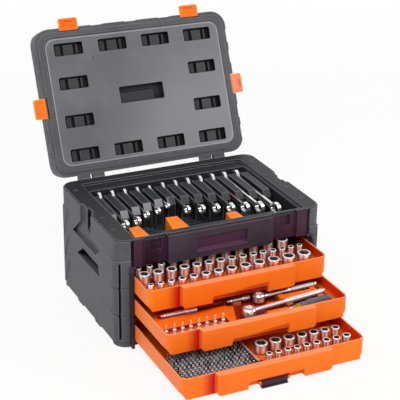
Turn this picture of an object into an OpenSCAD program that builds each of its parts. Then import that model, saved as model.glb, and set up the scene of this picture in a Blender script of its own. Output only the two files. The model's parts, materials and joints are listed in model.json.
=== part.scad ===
// Socket and wrench set in a three-drawer carry case with a hinged lid.
// Frame: the origin is on the floor under the middle of the case body.
// +X is to the right, the drawers open towards -Y, and +Z is up.
// It is drawn with the lid open against its stop and the drawers pulled out in steps.

/* [Case body] */
// Outside width of the case body
case_width = 500; // [480:5:600]
// Outside depth of the case body
case_depth = 364; // [345:5:440]
// Height of the case body under the lid
case_height = 257; // [250:1:300]
// Thickness of each side panel
side_thickness = 31; // [24:1:38]
// Radius of the upright corners of the body
body_corner = 30; // [20:1:34]
// Thickness of the back wall
back_thickness = 10; // [6:1:14]
// Thickness of the floor pan
pan_thickness = 7; // [5:0.5:9]
// Depth of the recess round each latch
latch_recess = 8; // [6:0.5:10]
// How far the middle of the front stands out from its ends
front_step = 14; // [8:1:20]
// Half width of the middle of the front
front_middle = 135; // [110:1:140]

/* [Lid] */
// Height of the lid
lid_height = 44; // [34:1:60]
// Radius of the lid's corners in plan
lid_corner = 38; // [24:1:50]
// Width of the lid's rim
lid_rim = 22; // [16:1:30]
// Angle that the lid opens to its stop
lid_angle = 113.3; // [95:0.1:118]
// Length and width of a lid pocket
lid_pocket = [72, 30]; // [20:1:90]
// Depth of a lid pocket
lid_pocket_depth = 17; // [8:1:24]

/* [Latches] */
// Width of a latch
latch_width = 48; // [30:1:50]
// Length of a latch from its pin
latch_length = 27; // [26:0.5:32]
// Thickness of a latch plate
latch_plate = 4; // [3:0.1:4.4]
// Radius of a latch pin
latch_pin_radius = 1.6; // [1.2:0.1:2]

/* [Drawers] */
// Height of the lower drawer
lower_height = 49; // [46:0.5:52]
// Height of the middle drawer
middle_height = 47.5; // [45:0.5:50]
// Height of the upper drawer
upper_height = 50; // [47:0.5:54]
// How far the lower drawer stands open
lower_open = 263; // [0:1:263]
// How far the middle drawer stands open
middle_open = 186; // [0:1:263]
// How far the upper drawer stands open
upper_open = 88; // [0:1:263]
// Wall thickness of a drawer
drawer_wall = 3.2; // [2.4:0.1:4]
// Floor thickness of a drawer
drawer_floor = 3; // [2:0.1:4]
// Gap between the lower drawer and the middle one
lower_gap = 15.5; // [10:0.5:17]
// Gap between the middle drawer and the upper one
upper_gap = 5; // [4:0.5:8]
// Running gap between a drawer and the bars that carry it
slide_gap = 0.35; // [0.2:0.05:0.6]
// Gap between a drawer and each side panel
drawer_side_gap = 2.5; // [1.5:0.1:4]

/* [Sockets] */
// Number of sockets in the upper drawer's front, middle and rear rows
upper_counts = [13, 15, 12]; // [2:1:16]
// Smallest and largest radius in the front row
front_radii = [6.5, 15.2]; // [5:0.1:16]
// Largest and smallest radius in the middle row
middle_radii = [12.5, 6.8]; // [5:0.1:14]
// Smallest and largest radius in the rear row
rear_radii = [7, 13]; // [5:0.1:14]
// Largest and smallest radius of the tall sockets
tall_radii = [14.2, 9.4]; // [7:0.1:16]
// Smallest and largest radius of the short sockets
short_radii = [7.5, 9.4]; // [5:0.1:10]
// Radial clearance of a socket in its seat
seat_clearance = 0.4; // [0.2:0.05:0.8]

/* [Wrenches] */
// Sizes of the combination wrenches across the flats, from left to right
wrench_sizes = [14.3, 13.5, 11, 10, 8, 12, 13, 14, 15, 16, 17, 19]; // [6:0.1:22]
// Distance between one wrench and the next
wrench_pitch = 32; // [31.5:0.5:33]
// Tilt of the ring end from the handle
ring_tilt = 15; // [0:1:18]

/* [Ratchets] */
// Radius of the large ratchet's head
large_head = 15.5; // [14:0.5:17]
// Radius of the small ratchet's head
small_head = 13; // [12:0.5:14]
// Running clearance of pins and drives
running = 0.06; // [0.02:0.01:0.1]

/* [Bits] */
// Columns and rows of screwdriver bits in the case
bit_grid = [17, 10]; // [4:1:20]
// Distance between bits
bit_pitch = 9.6; // [8.4:0.1:10]
// Length of a screwdriver bit
bit_length = 25; // [20:0.5:25]

/* [Hidden] */
$fn = 48;

shell_grey = [0.40, 0.40, 0.42];
tray_grey = [0.21, 0.21, 0.22];
panel_grey = [0.27, 0.20, 0.25];
orange = [0.98, 0.40, 0.08];
chrome = [0.82, 0.82, 0.84];
black = [0.08, 0.08, 0.09];

// Places that follow from the sizes
half_width = case_width/2;
half_depth = case_depth/2;
front_y = -half_depth;
frame_thickness = 3;
panel_top = case_height - frame_thickness;
inner_half = half_width - side_thickness;
drawer_half = inner_half - drawer_side_gap;
lower_z = pan_thickness + 2;
middle_z = lower_z + lower_height + lower_gap;
upper_z = middle_z + middle_height + upper_gap;
drawer_length = case_depth - back_thickness - 6;
socket_top = upper_z + upper_height + 10;
front_bottom = socket_top + 4.5;
front_shift = -6.5;

// The stepped opening of the tray and its floor
tray_floor = front_bottom + 1.5;
tray_skin = 3;
tray_half = 201;
tray_front = front_y + 17;
tray_rear = 119;
ledge_rear = 154;
ledge_z = case_height - 6;

// Hinge line of the lid
hinge_radius = 6;
hinge_pin = 2.5;
hinge_y = half_depth + hinge_radius + 0.4;
hinge_z = case_height - 11;
hinge_x = 160;
hinge_span = 78;
hinge_lug_width = 6;
knuckle_gap = 0.4;
heel_drop = 3;
heel_length = (hinge_y - half_depth - 0.3 - heel_drop*sin(lid_angle))/-cos(lid_angle);

// Lid outline when it is closed
lid_gap = 0.3;
lid_z = case_height + lid_gap;
lid_front = front_y;
lid_rear = half_depth - 10.4;
lid_depth = lid_rear - lid_front;
liner_half = half_width - lid_rim - 1.5;

// Latches: each pin's height over the case, and how far it stands off the recess behind it
latch_lift = 8;
latch_standoff = 4;
front_latch_x = 158;
side_latch_y = 3;
hook_start = 20;
hook_length = 3.5;
hook_reach = 9;
latch_notch = latch_width + 2;
notch_depth = latch_standoff + 6;
front_recess_y = front_y + latch_recess;
side_recess_x = half_width - latch_recess;

// Solid rounded rectangle in plan: its corners are true arcs
module rounded_outline(x0, x1, y0, y1, r) {
    translate([x0 + r, y0]) square([x1 - x0 - 2*r, y1 - y0]);
    translate([x0, y0 + r]) square([x1 - x0, y1 - y0 - 2*r]);
    for (x = [x0 + r, x1 - r])
        for (y = [y0 + r, y1 - r])
            translate([x, y]) circle(r);
}

// Extrudes an outline drawn as [y, z] along X, from x0 to x1
module along_x(x0, x1) {
    translate([x0, 0, 0])
        rotate([90, 0, 90])
            linear_extrude(x1 - x0) children();
}

// Extrudes an outline drawn as [x, z] along Y, from y0 to y1
module along_y(y0, y1) {
    translate([0, y1, 0])
        rotate([90, 0, 0])
            linear_extrude(y1 - y0) children();
}

module box(x0, x1, y0, y1, z0, z1) {
    translate([x0, y0, z0]) cube([x1 - x0, y1 - y0, z1 - z0]);
}

// ---------- Case body ----------

// One armour plate of a side panel, drawn as [y, z] from its top edge
module armour_outline(top, drop) {
    polygon([[front_y - 5, top + 4], [front_y + 24, top - 4], [front_y + 52, top + 1],
        [front_y + 34, top - drop*0.6], [front_y + 26, top - drop], [front_y - 5, top - drop]]);
}

module side_plan(grow) {
    difference() {
        rounded_outline(-half_width - grow, half_width + grow,
            -half_depth - grow, half_depth + grow, body_corner);
        translate([-inner_half, -case_depth]) square([case_width + case_depth, 2*case_depth]);
    }
}

module side_panel() {
    armour_step = 66;
    armour_grow = 2;
    recess_floor = 171;
    slot_deep = 18;
    hook_ledge = case_height + latch_lift - hook_start + 2;
    difference() {
        union() {
            linear_extrude(panel_top) side_plan(0);
            for (side = [-1, 1])
                intersection() {
                    translate([0, 0, 4]) linear_extrude(panel_top - 45) side_plan(armour_grow);
                    for (i = [0 : 2])
                        along_x(-case_width, 0)
                            scale([-side, 1])
                                armour_outline(207 - i*armour_step, armour_step - 5);
                }
        }
        // Recess round the latch, widening into a hand hold
        along_x(-half_width - 5, -side_recess_x)
            polygon([[-23, case_height], [-23, 204], [-82, 196], [-50, recess_floor],
                [100, recess_floor], [46, 215], [46, case_height]]);
        // Slot for the latch's hook
        along_x(-side_recess_x - 1, -side_recess_x + hook_reach - latch_standoff + 1)
            polygon([[-8, case_height], [-8, 228], [18, 202], [18, case_height]]);
        along_x(-side_recess_x - 1, -half_width + slot_deep)
            polygon([[-8, hook_ledge], [-8, 228], [18, 202], [18, hook_ledge]]);
        // Finger pocket of the hand hold
        along_x(-half_width - 5, -half_width + 22)
            polygon([[-72, 125], [72, 125], [34, 153], [-65, 153]]);
        // Upright slit in the front edge
        box(-half_width + 5.5, -half_width + 10.5, front_y - 5, front_y + 22, 18, 203);
        // Hollows between the feet
        for (y = [-112, 0, 112])
            along_x(-half_width - 5, -inner_half + 1)
                polygon([[y - 42, -1], [y + 42, -1], [y + 34, 5], [y - 34, 5]]);
        // Grip notches over the lower edge
        for (y = [-53, -6, 16, 67, 99])
            along_x(-half_width - 5, -half_width + 1.6)
                polygon([[y - 5, 14], [y, 14], [y + 6, 24], [y + 1, 24]]);
        // Screw holes under the tray frame
        tray_screw_places(-1) cylinder(r = 2, h = 60, center = true);
    }
}

module side_panel_left() {
    color(shell_grey) side_panel();
}

module side_panel_right() {
    color(shell_grey) mirror([1, 0, 0]) side_panel();
}

module back_wall() {
    color(shell_grey) {
        difference() {
            union() {
                box(-inner_half, inner_half, half_depth - back_thickness, half_depth, 0, panel_top);
                // Upright ribs that stiffen the outside
                for (x = [-180, -108, -36, 36, 108, 180])
                    box(x - 14, x + 14, half_depth - 1, half_depth + 2.5, 10, case_height - 32);
                for (side = [-1, 1])
                    for (k = [-1, 0, 1])
                        hinge_lug(side*hinge_x + k*(hinge_span - hinge_lug_width)/2);
            }
            for (side = [-1, 1])
                translate([side*hinge_x, hinge_y, hinge_z])
                    rotate([0, 90, 0]) cylinder(r = hinge_pin, h = hinge_span + 2, center = true);
        }
    }
}

module hinge_lug(x) {
    along_x(x - hinge_lug_width/2, x + hinge_lug_width/2) {
        translate([hinge_y, hinge_z]) circle(hinge_radius);
        polygon([[half_depth - 1, hinge_z - 16], [hinge_y + 3, hinge_z - 5.2],
            [hinge_y, hinge_z + hinge_radius], [half_depth - 1, hinge_z + hinge_radius]]);
    }
}

module hinge_pins() {
    color(chrome)
        for (side = [-1, 1])
            translate([side*hinge_x, hinge_y, hinge_z])
                rotate([0, 90, 0]) cylinder(r = hinge_pin, h = hinge_span, center = true);
}

module floor_pan() {
    catch_notch = 40;
    color(shell_grey)
        difference() {
            box(-inner_half, inner_half, front_y + 4, half_depth - back_thickness, 0, pan_thickness);
            box(-catch_notch, catch_notch, front_y, front_y + 16, -1, pan_thickness + 1);
            for (x = [-175 : 50 : 175])
                box(x - 16, x + 16, front_y + 40, half_depth - 40, -1, 2.5);
        }
}

// The upper front: a middle block with a shallow pocket, a latch recess at each side of it,
// and a leg down each side of the drawers
module front_panel() {
    panel_back = front_y + 17;
    panel_middle = front_middle - 8;
    end_gap = 8;
    recess_out = 186;
    pocket_half = 62;
    pocket_middle = -5;
    hook_z = case_height + latch_lift - hook_start + 2;
    leg_out = 16;
    leg_low = 3;
    leg_wide = 6;
    color(panel_grey)
        difference() {
            union() {
                box(-inner_half + end_gap, inner_half - end_gap, front_y, panel_back,
                    front_bottom, panel_top);
                box(front_shift - panel_middle, front_shift + panel_middle, front_y - 8, front_y + 1,
                    front_bottom, panel_top);
                for (side = [-1, 1])
                    scale([side, 1, 1]) {
                        // Tongues that key the panel to the side panels
                        box(inner_half - end_gap - 1, inner_half, panel_back - 4, panel_back,
                            front_bottom, panel_top);
                        // Legs, each with the foot that ties it to the panel
                        box(inner_half - 1.5, inner_half - 1.5 + leg_wide, front_y - leg_out,
                            front_y - 2.3, leg_low, front_bottom + 4);
                        box(inner_half - end_gap - 1, inner_half - 0.4, front_y - 6, front_y + 6,
                            front_bottom, front_bottom + 4);
                    }
            }
            for (side = [-1, 1])
                scale([side, 1, 1]) {
                    box(panel_middle + side*front_shift, recess_out, front_y - 9, front_recess_y,
                        front_bottom - 1, case_height);
                    box(front_latch_x - 14, front_latch_x + 14, front_y, front_recess_y + 7,
                        222, hook_z);
                    // Room for the tray's first step, which reaches into the panel
                    box(panel_middle + 2, inner_half + 1, front_recess_y, panel_back + 1,
                        ledge_z - tray_skin, case_height);
                }
            // Pocket with a sloped floor
            along_x(pocket_middle - pocket_half, pocket_middle + pocket_half)
                polygon([[front_y - 9, 240], [front_y - 2, 240], [front_y - 2, 210],
                    [front_y - 9, 204]]);
            // Grooves across the top edge of the middle block
            for (x = [-27, 62])
                box(x - 1, x + 1, front_y - 9, front_y - 7, 243, case_height);
        }
}

// Bars on the side panels that the drawers slide on
runner_width = 12;
runner_low = 7.4;
runner_high = 13.2;
module runner_outline(side) {
    scale([side, 1])
        polygon([[inner_half, 0.6], [inner_half - runner_width, 0.6],
            [inner_half - runner_width, runner_low], [inner_half, runner_high]]);
}

module drawer_runners() {
    color(shell_grey)
        for (z = [lower_z, middle_z, upper_z])
            for (side = [-1, 1])
                translate([0, 0, z])
                    along_y(front_y + 6, half_depth - back_thickness) runner_outline(side);
}

// ---------- Tray under the lid ----------

screw_rows = [124, -48, -116];
module tray_screw_places(side) {
    for (y = screw_rows)
        translate([side*(half_width - 19), y, case_height]) children();
}

module tray_frame() {
    inset = 2.5;
    color(tray_grey)
        difference() {
            union() {
                translate([0, 0, panel_top])
                    linear_extrude(frame_thickness)
                        difference() {
                            rounded_outline(-half_width + inset, half_width - inset,
                                front_y + inset, half_depth - inset, body_corner - inset);
                            for (side = [-1, 1])
                                scale([side, 1]) {
                                    translate([side_recess_x, -23]) square([20, 69]);
                                    translate([side_recess_x - 5, -8]) square([20, 26]);
                                    translate([front_middle - 8 + side*front_shift, -half_depth - 5])
                                        square([194 - front_middle - side*front_shift, latch_recess + 5]);
                                }
                        }
                // Tub that hangs from the frame
                box(-tray_half - 6 - tray_skin, tray_half + 6 + tray_skin, tray_front,
                    ledge_rear + tray_skin, ledge_z - tray_skin, case_height - 1);
                for (side = [-1, 1])
                    scale([side, 1, 1])
                        box(front_middle - 4.5, tray_half + 6 + tray_skin, front_recess_y + 0.4,
                            tray_front + 1, ledge_z - tray_skin, case_height - 1);
                box(-tray_half - tray_skin, tray_half + tray_skin, tray_front,
                    tray_rear + tray_skin, tray_floor - tray_skin, case_height - 1);
            }
            // First step down
            translate([0, 0, ledge_z])
                linear_extrude(20)
                    rounded_outline(-tray_half - 6, tray_half + 6, tray_front + tray_skin - 2.4,
                        ledge_rear, 6);
            for (side = [-1, 1])
                scale([side, 1, 1])
                    box(front_middle - 2, tray_half + 6, front_recess_y + 2, tray_front + 8,
                        ledge_z, case_height + 1);
            // Well
            translate([0, 0, tray_floor])
                linear_extrude(100)
                    rounded_outline(-tray_half, tray_half, tray_front + tray_skin, tray_rear, 6);
            for (side = [-1, 1])
                tray_screw_places(side) {
                    translate([0, 0, -1.6]) cylinder(r = 4.2, h = 5);
                    translate([0, 0, -10]) cylinder(r = 1.8, h = 20);
                }
        }
}

module tray_screws() {
    color(black)
        for (side = [-1, 1])
            tray_screw_places(side)
                difference() {
                    union() {
                        translate([0, 0, -1.6]) cylinder(r = 3.8, h = 1.2);
                        translate([0, 0, -15]) cylinder(r = 1.8, h = 14);
                    }
                    translate([0, 0, -1.1]) cylinder(r = 1.9, h = 3, $fn = 6);
                }
}

// Sizes that follow from a wrench's size across the flats
function wrench_length(af) = 40 + 10.5*af;
function ring_radius(af) = 0.7*af + 1.4;
function jaw_radius(af) = 0.95*af + 1;
function handle_height(af) = 0.55*af + 3.5;
function handle_thickness(af) = 0.24*af + 1.8;
function ring_thickness(af) = 0.38*af + 2;
function wrench_x(i) = (i - 5.78)*wrench_pitch;

wrench_rear = 108;
rack_top = case_height - 5;
rack_rear = 82;
rib_slope = 12;
wrench_side_gap = 4.4;
// Height of a wrench on edge: its jaw stays under the lid
function wrench_z(af) = min(rack_top - 11, case_height - 0.8 - jaw_radius(af));
// Front end of each rib's top, stepped back where the short wrenches lie
function rib_front(i) = i < 5 ? 10*i - 28 : 20 - 6.5*(i - 4);

module wrench_rack() {
    rib_drop = 15;
    rib_count = len(wrench_sizes) + 1;
    color(tray_grey) {
        // Rear comb that holds the handles
        for (i = [0 : rib_count - 1]) {
            left = i == 0 ? -tray_half + 0.2
                : wrench_x(i - 1) + handle_thickness(wrench_sizes[i - 1])/2 + wrench_side_gap;
            right = i == rib_count - 1 ? min(tray_half - 0.2, wrench_x(i - 1) + wrench_pitch - 7)
                : wrench_x(i) - handle_thickness(wrench_sizes[i])/2 - wrench_side_gap;
            front = rib_front(i);
            along_x(left, right)
                polygon([[front - rib_slope, tray_floor], [front - rib_slope, rack_top - rib_drop],
                    [front, rack_top], [rack_rear, rack_top], [rack_rear, tray_floor]]);
        }
        // Base that joins the ribs under the handles
        for (i = [0 : len(wrench_sizes) - 1]) {
            af = wrench_sizes[i];
            half = handle_thickness(af)/2 + wrench_side_gap;
            box(wrench_x(i) - half - 0.01, wrench_x(i) + half + 0.01, rib_front(i) + 4,
                wrench_rear - 1.85*jaw_radius(af) - 2, tray_floor, wrench_z(af) - handle_height(af)*0.62);
        }
    }
}

// A combination wrench on edge: the ring is at the origin and the jaw towards +Y
module wrench(af) {
    length = wrench_length(af) - ring_radius(af) - jaw_radius(af);
    web = handle_thickness(af);
    height = handle_height(af);
    difference() {
        union() {
            rotate([0, 0, ring_tilt])
                rotate([0, 90, 0])
                    cylinder(r = ring_radius(af), h = ring_thickness(af), center = true);
            along_x(-web/2, web/2) {
                polygon([[0, -height*0.42], [length*0.5, -height*0.5], [length, -height*0.6],
                    [length, height*0.6], [length*0.5, height*0.5], [0, height*0.42]]);
            }
            translate([0, length, 0])
                rotate([0, 90, 0])
                    cylinder(r = jaw_radius(af), h = web + 1.2, center = true);
        }
        rotate([0, 0, ring_tilt])
            rotate([0, 90, 0])
                for (turn = [0, 30])
                    rotate([0, 0, turn])
                        cylinder(r = af/sqrt(3), h = 3*af, center = true, $fn = 6);
        translate([0, length, 0])
            rotate([ring_tilt, 0, 0])
                translate([-af, -af*0.1, -af/2]) cube([2*af, 3*af, af]);
        // Panel pressed into each face of the handle
        for (side = [-1, 1])
            along_x(side > 0 ? web/2 - 0.5 : -web/2 - 1, side > 0 ? web/2 + 1 : -web/2 + 0.5)
                polygon([[ring_radius(af) + 8, -height*0.24], [length - jaw_radius(af) - 6, -height*0.3],
                    [length - jaw_radius(af) - 6, height*0.3], [ring_radius(af) + 8, height*0.24]]);
    }
}

module placed_wrench(i) {
    af = wrench_sizes[i];
    length = wrench_length(af) - ring_radius(af) - jaw_radius(af);
    color(chrome)
        translate([wrench_x(i), wrench_rear - jaw_radius(af)*0.85 - length, wrench_z(af)]) wrench(af);
}

// Orange holders: outline of each in plan, clockwise from its rear left corner
key_holder_outlines = [
    [[-193, -108], [-169, -105], [-166, -160], [-188, -161.5], [-199, -158]],
    [[-97, -88], [-70, -90], [-68, -158], [-109, -161.5]],
    [[38, -118], [62, -118], [65, -154], [33, -160]]];
key_counts = [6, 6, 4];
key_top = case_height - 6;
key_z = key_top - 6;
key_grip = 14;
key_turn = -4;

function key_radius(i) = 1.2 + 0.42*i;
function key_reach(i) = 22 + 5*i;
function key_leg(i) = 10 + 2.4*i;
// Right face of a holder, and how far along it the i-th key lies
function key_face(k) = [key_holder_outlines[k][1], key_holder_outlines[k][2]];
function key_share(k, i) = 0.1 + 0.8*i/(key_counts[k] - 1);

module at_key(k, i) {
    face = key_face(k);
    place = face[0] + (face[1] - face[0])*key_share(k, i);
    translate([place[0], place[1], key_z]) rotate([0, 0, key_turn]) children();
}

module key_holders() {
    color(orange)
        for (k = [0 : len(key_counts) - 1])
            difference() {
                translate([0, 0, tray_floor])
                    linear_extrude(key_top - tray_floor)
                        polygon(key_holder_outlines[k]);
                for (i = [0 : key_counts[k] - 1])
                    at_key(k, i)
                        translate([-key_grip - 1, 0, 0])
                            rotate([0, 90, 0])
                                cylinder(r = key_radius(i) + 0.25, h = key_grip + 12, $fn = 6);
            }
}

// An L key: its long leg is held in the holder and its short leg hangs down at the far end
module hex_key(i) {
    r = key_radius(i);
    translate([-key_grip, 0, 0])
        rotate([0, 90, 0]) cylinder(r = r, h = key_grip + key_reach(i) + 0.5*r, $fn = 6);
    translate([key_reach(i), 0, 0]) {
        sphere(r, $fn = 24);
        translate([0, 0, -key_leg(i)])
            rotate([0, 0, 30]) cylinder(r = r, h = key_leg(i), $fn = 6);
    }
}

module hex_keys() {
    color(black)
        for (k = [0 : len(key_counts) - 1])
            for (i = [0 : key_counts[k] - 1])
                at_key(k, i) hex_key(i);
}

// ---------- Lid ----------

// Carries what is drawn for the closed lid to the open position
module opened() {
    translate([0, hinge_y, hinge_z])
        rotate([-lid_angle, 0, 0])
            translate([0, -hinge_y, -hinge_z]) children();
}

module lid_form() {
    chamfer = 9;
    top = lid_z + lid_height;
    intersection() {
        translate([0, 0, lid_z])
            linear_extrude(lid_height)
                rounded_outline(-half_width, half_width, lid_front, lid_rear, lid_corner);
        along_y(-case_depth, case_depth)
            polygon([[-half_width, lid_z], [half_width, lid_z], [half_width, top - chamfer],
                [half_width - chamfer, top], [-half_width + chamfer, top],
                [-half_width, top - chamfer]]);
        along_x(-case_width, case_width)
            polygon([[lid_front, lid_z], [lid_rear, lid_z], [lid_rear, top - chamfer],
                [lid_rear - chamfer, top], [lid_front + chamfer, top], [lid_front, top - chamfer]]);
    }
}

module lid_shell() {
    skin = 4;
    bead = 9;
    ledge = 6;
    edge_drop = 2.4;
    color(shell_grey)
        opened()
            difference() {
                union() {
                    lid_form();
                    for (side = [-1, 1])
                        for (k = [-1, 1])
                            lid_knuckle(side*hinge_x + k*(hinge_span - hinge_lug_width)/4);
                }
                // Inside of the lid, with a ledge that carries the liner
                translate([0, 0, lid_z - 1])
                    linear_extrude(5.3)
                        rounded_outline(-half_width + lid_rim, half_width - lid_rim,
                            lid_front + lid_rim, lid_rear - lid_rim, lid_corner - lid_rim + 6);
                translate([0, 0, lid_z])
                    linear_extrude(lid_height - skin)
                        rounded_outline(-half_width + lid_rim + ledge, half_width - lid_rim - ledge,
                            lid_front + lid_rim + ledge, lid_rear - lid_rim - ledge, lid_corner - lid_rim);
                // The outer edge lies a little back from the rim's bead
                translate([0, 0, lid_z - 1])
                    linear_extrude(edge_drop + 1)
                        difference() {
                            rounded_outline(-half_width - 9, half_width + 9, lid_front - 9,
                                lid_rear + 9, lid_corner);
                            rounded_outline(-half_width + bead, half_width - bead,
                                lid_front + bead, lid_rear - bead, lid_corner - bead);
                        }
                // Shallow scallops along the outer edge
                for (x = [-88, 0, 88])
                    translate([x, lid_front, lid_z - 1]) lid_scallop();
                for (side = [-1, 1])
                    for (y = [-118, -66, 72, 124])
                        translate([side*half_width, y, lid_z - 1]) rotate([0, 0, 90]) lid_scallop();
                // Notches for the latches, with the holes for their pins
                for (side = [-1, 1]) {
                    box(side*front_latch_x - latch_notch/2, side*front_latch_x + latch_notch/2,
                        lid_front - 5, lid_front + notch_depth, lid_z - 1, lid_z + 20);
                    translate([side*front_latch_x, latch_pin_y, latch_pin_z])
                        rotate([0, 90, 0])
                            cylinder(r = latch_pin_radius, h = latch_notch + 8, center = true);
                    box(side > 0 ? half_width - notch_depth : -half_width - 5,
                        side > 0 ? half_width + 5 : -half_width + notch_depth,
                        side_latch_y - latch_notch/2, side_latch_y + latch_notch/2,
                        lid_z - 1, lid_z + 20);
                    translate([side*latch_pin_x, side_latch_y, latch_pin_z])
                        rotate([90, 0, 0])
                            cylinder(r = latch_pin_radius, h = latch_notch + 8, center = true);
                }
                // Shallow panel in the lid's top
                translate([0, 0, lid_z + lid_height - 2])
                    linear_extrude(5)
                        difference() {
                            rounded_outline(-half_width + 40, half_width - 40, lid_front + 40,
                                lid_rear - 40, 16);
                            for (x = [-150 : 60 : 150])
                                translate([x - 9, lid_front + 60]) square([18, lid_depth - 120]);
                        }
                for (side = [-1, 1])
                    translate([side*hinge_x, hinge_y, hinge_z])
                        rotate([0, 90, 0])
                            cylinder(r = hinge_pin + running, h = hinge_span + 20, center = true);
            }
}

module lid_scallop() {
    translate([-16, -2, 0]) cube([32, 4, 16]);
}

latch_pin_y = front_recess_y - latch_standoff;
latch_pin_x = side_recess_x + latch_standoff;
latch_pin_z = case_height + latch_lift;

// A knuckle on the hinge line, with its arm over the back edge and its stop heel
module lid_knuckle(x) {
    width = (hinge_span - 3*hinge_lug_width)/2 - 2*knuckle_gap;
    arm_top = 16;
    along_x(x - width/2, x + width/2) {
        translate([hinge_y, hinge_z]) circle(hinge_radius);
        translate([hinge_y, hinge_z - heel_drop]) square([heel_length, 2*heel_drop]);
        polygon([[hinge_y - hinge_radius + 0.6, hinge_z], [hinge_y + hinge_radius, hinge_z],
            [hinge_y + hinge_radius, lid_z + arm_top - 6], [hinge_y, lid_z + arm_top],
            [lid_rear - 2, lid_z + arm_top], [lid_rear - 2, lid_z + 1],
            [hinge_y - hinge_radius + 0.6, lid_z + 1]]);
    }
}

liner_columns = [-168, -56, 56, 168];
liner_rows = [49, 130, 221, 302];

module lid_pocket_places() {
    for (x = liner_columns)
        for (row = liner_rows)
            if (abs(x) > 100 || row < 60 || row > 290)
                translate([x, lid_rear - row*lid_depth/353.6, 0]) children();
}

module lid_liner() {
    recess = 1;
    plate = 3.3;
    wall = 2;
    size = lid_pocket;
    middle = [115, 40];
    base = lid_z + recess;
    middle_y = lid_rear - lid_depth/2;
    color(shell_grey)
        opened()
            difference() {
                union() {
                    translate([0, 0, base])
                        linear_extrude(plate)
                            rounded_outline(-liner_half, liner_half, lid_front + lid_rim + 1.5,
                                lid_rear - lid_rim - 1.5, lid_corner - lid_rim + 4.5);
                    lid_pocket_places()
                        box(-size[0]/2 - wall, size[0]/2 + wall, -size[1]/2 - wall, size[1]/2 + wall,
                            base, base + lid_pocket_depth + wall);
                    translate([0, middle_y, 0])
                        box(-middle[0]/2 - wall, middle[0]/2 + wall, -middle[1]/2 - wall,
                            middle[1]/2 + wall, base, base + lid_pocket_depth + wall);
                }
                lid_pocket_places()
                    difference() {
                        translate([0, 0, base - 1])
                            linear_extrude(lid_pocket_depth + 1)
                                rounded_outline(-size[0]/2, size[0]/2, -size[1]/2, size[1]/2, 4);
                        // Steps moulded in the pocket's floor
                        box(-size[0]/2 + 5, -size[0]/2 + 16, -size[1]/2 + 5, size[1]/2,
                            base + 8, base + 40);
                        box(-12, 12, -size[1]/2 + 5, size[1]/2, base + 6, base + 40);
                        box(20, 25, -size[1]/2 + 5, size[1]/2, base + 8, base + 40);
                    }
                translate([0, middle_y, 0])
                    difference() {
                        translate([0, 0, base - 1])
                            linear_extrude(lid_pocket_depth + 1)
                                rounded_outline(-middle[0]/2, middle[0]/2, -middle[1]/2,
                                    middle[1]/2, 3);
                        box(-middle[0]/2 - 1, middle[0]/2 - 26, -4, middle[1]/2 + 1,
                            base + 7, base + 40);
                    }
            }
}

// A latch that points along -Y from its pin, as it is when it is folded out
module latch() {
    barrel = 3.9;
    under = latch_standoff - 1.3;
    grip = 2.2;
    difference() {
        along_x(-latch_width/2, latch_width/2) {
            circle(barrel);
            polygon([[0, -under], [0, latch_plate - under], [-6, latch_plate - under],
                [-latch_length + 6, latch_plate - under], [-latch_length + 3, latch_plate - under + grip],
                [-latch_length, latch_plate - under + grip], [-latch_length, -under + 1],
                [-latch_length + 1, -under]]);
        }
        rotate([0, 90, 0]) cylinder(r = latch_pin_radius + running, h = case_width, center = true);
        // Corner reliefs at the free end
        for (side = [-1, 1])
            translate([side*latch_width/2, -latch_length, 0])
                rotate([0, 0, 45]) cube([5, 5, 30], center = true);
        // Window in the plate
        translate([0, -13, latch_plate - under]) cube([latch_width - 16, 9, 2.4], center = true);
    }
    // Hook that goes under the ledge of the recess
    box(-hook_half, hook_half, -hook_start - hook_length, -hook_start, -hook_reach, -under + 0.5);
}
hook_half = 10;

module front_latch(side) {
    color(orange)
        opened()
            translate([side*front_latch_x, latch_pin_y, latch_pin_z]) latch();
}

module side_latch(side) {
    color(orange)
        opened()
            translate([side*latch_pin_x, side_latch_y, latch_pin_z])
                rotate([0, 0, side*90]) latch();
}

module latch_pins() {
    color(chrome)
        opened()
            for (side = [-1, 1]) {
                translate([side*front_latch_x, latch_pin_y, latch_pin_z])
                    rotate([0, 90, 0])
                        cylinder(r = latch_pin_radius, h = latch_notch + 8, center = true);
                translate([side*latch_pin_x, side_latch_y, latch_pin_z])
                    rotate([90, 0, 0])
                        cylinder(r = latch_pin_radius, h = latch_notch + 8, center = true);
            }
}

// ---------- Drawers ----------

// Carries what is drawn with its front end face at y = 0 and its floor at z = 0
module in_drawer(z, open) {
    translate([0, front_y - open, z]) children();
}

corner = 16;
module drawer_plan(inset) {
    rounded_outline(-drawer_half + inset, drawer_half - inset, inset, drawer_length - inset,
        corner - inset);
}

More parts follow.
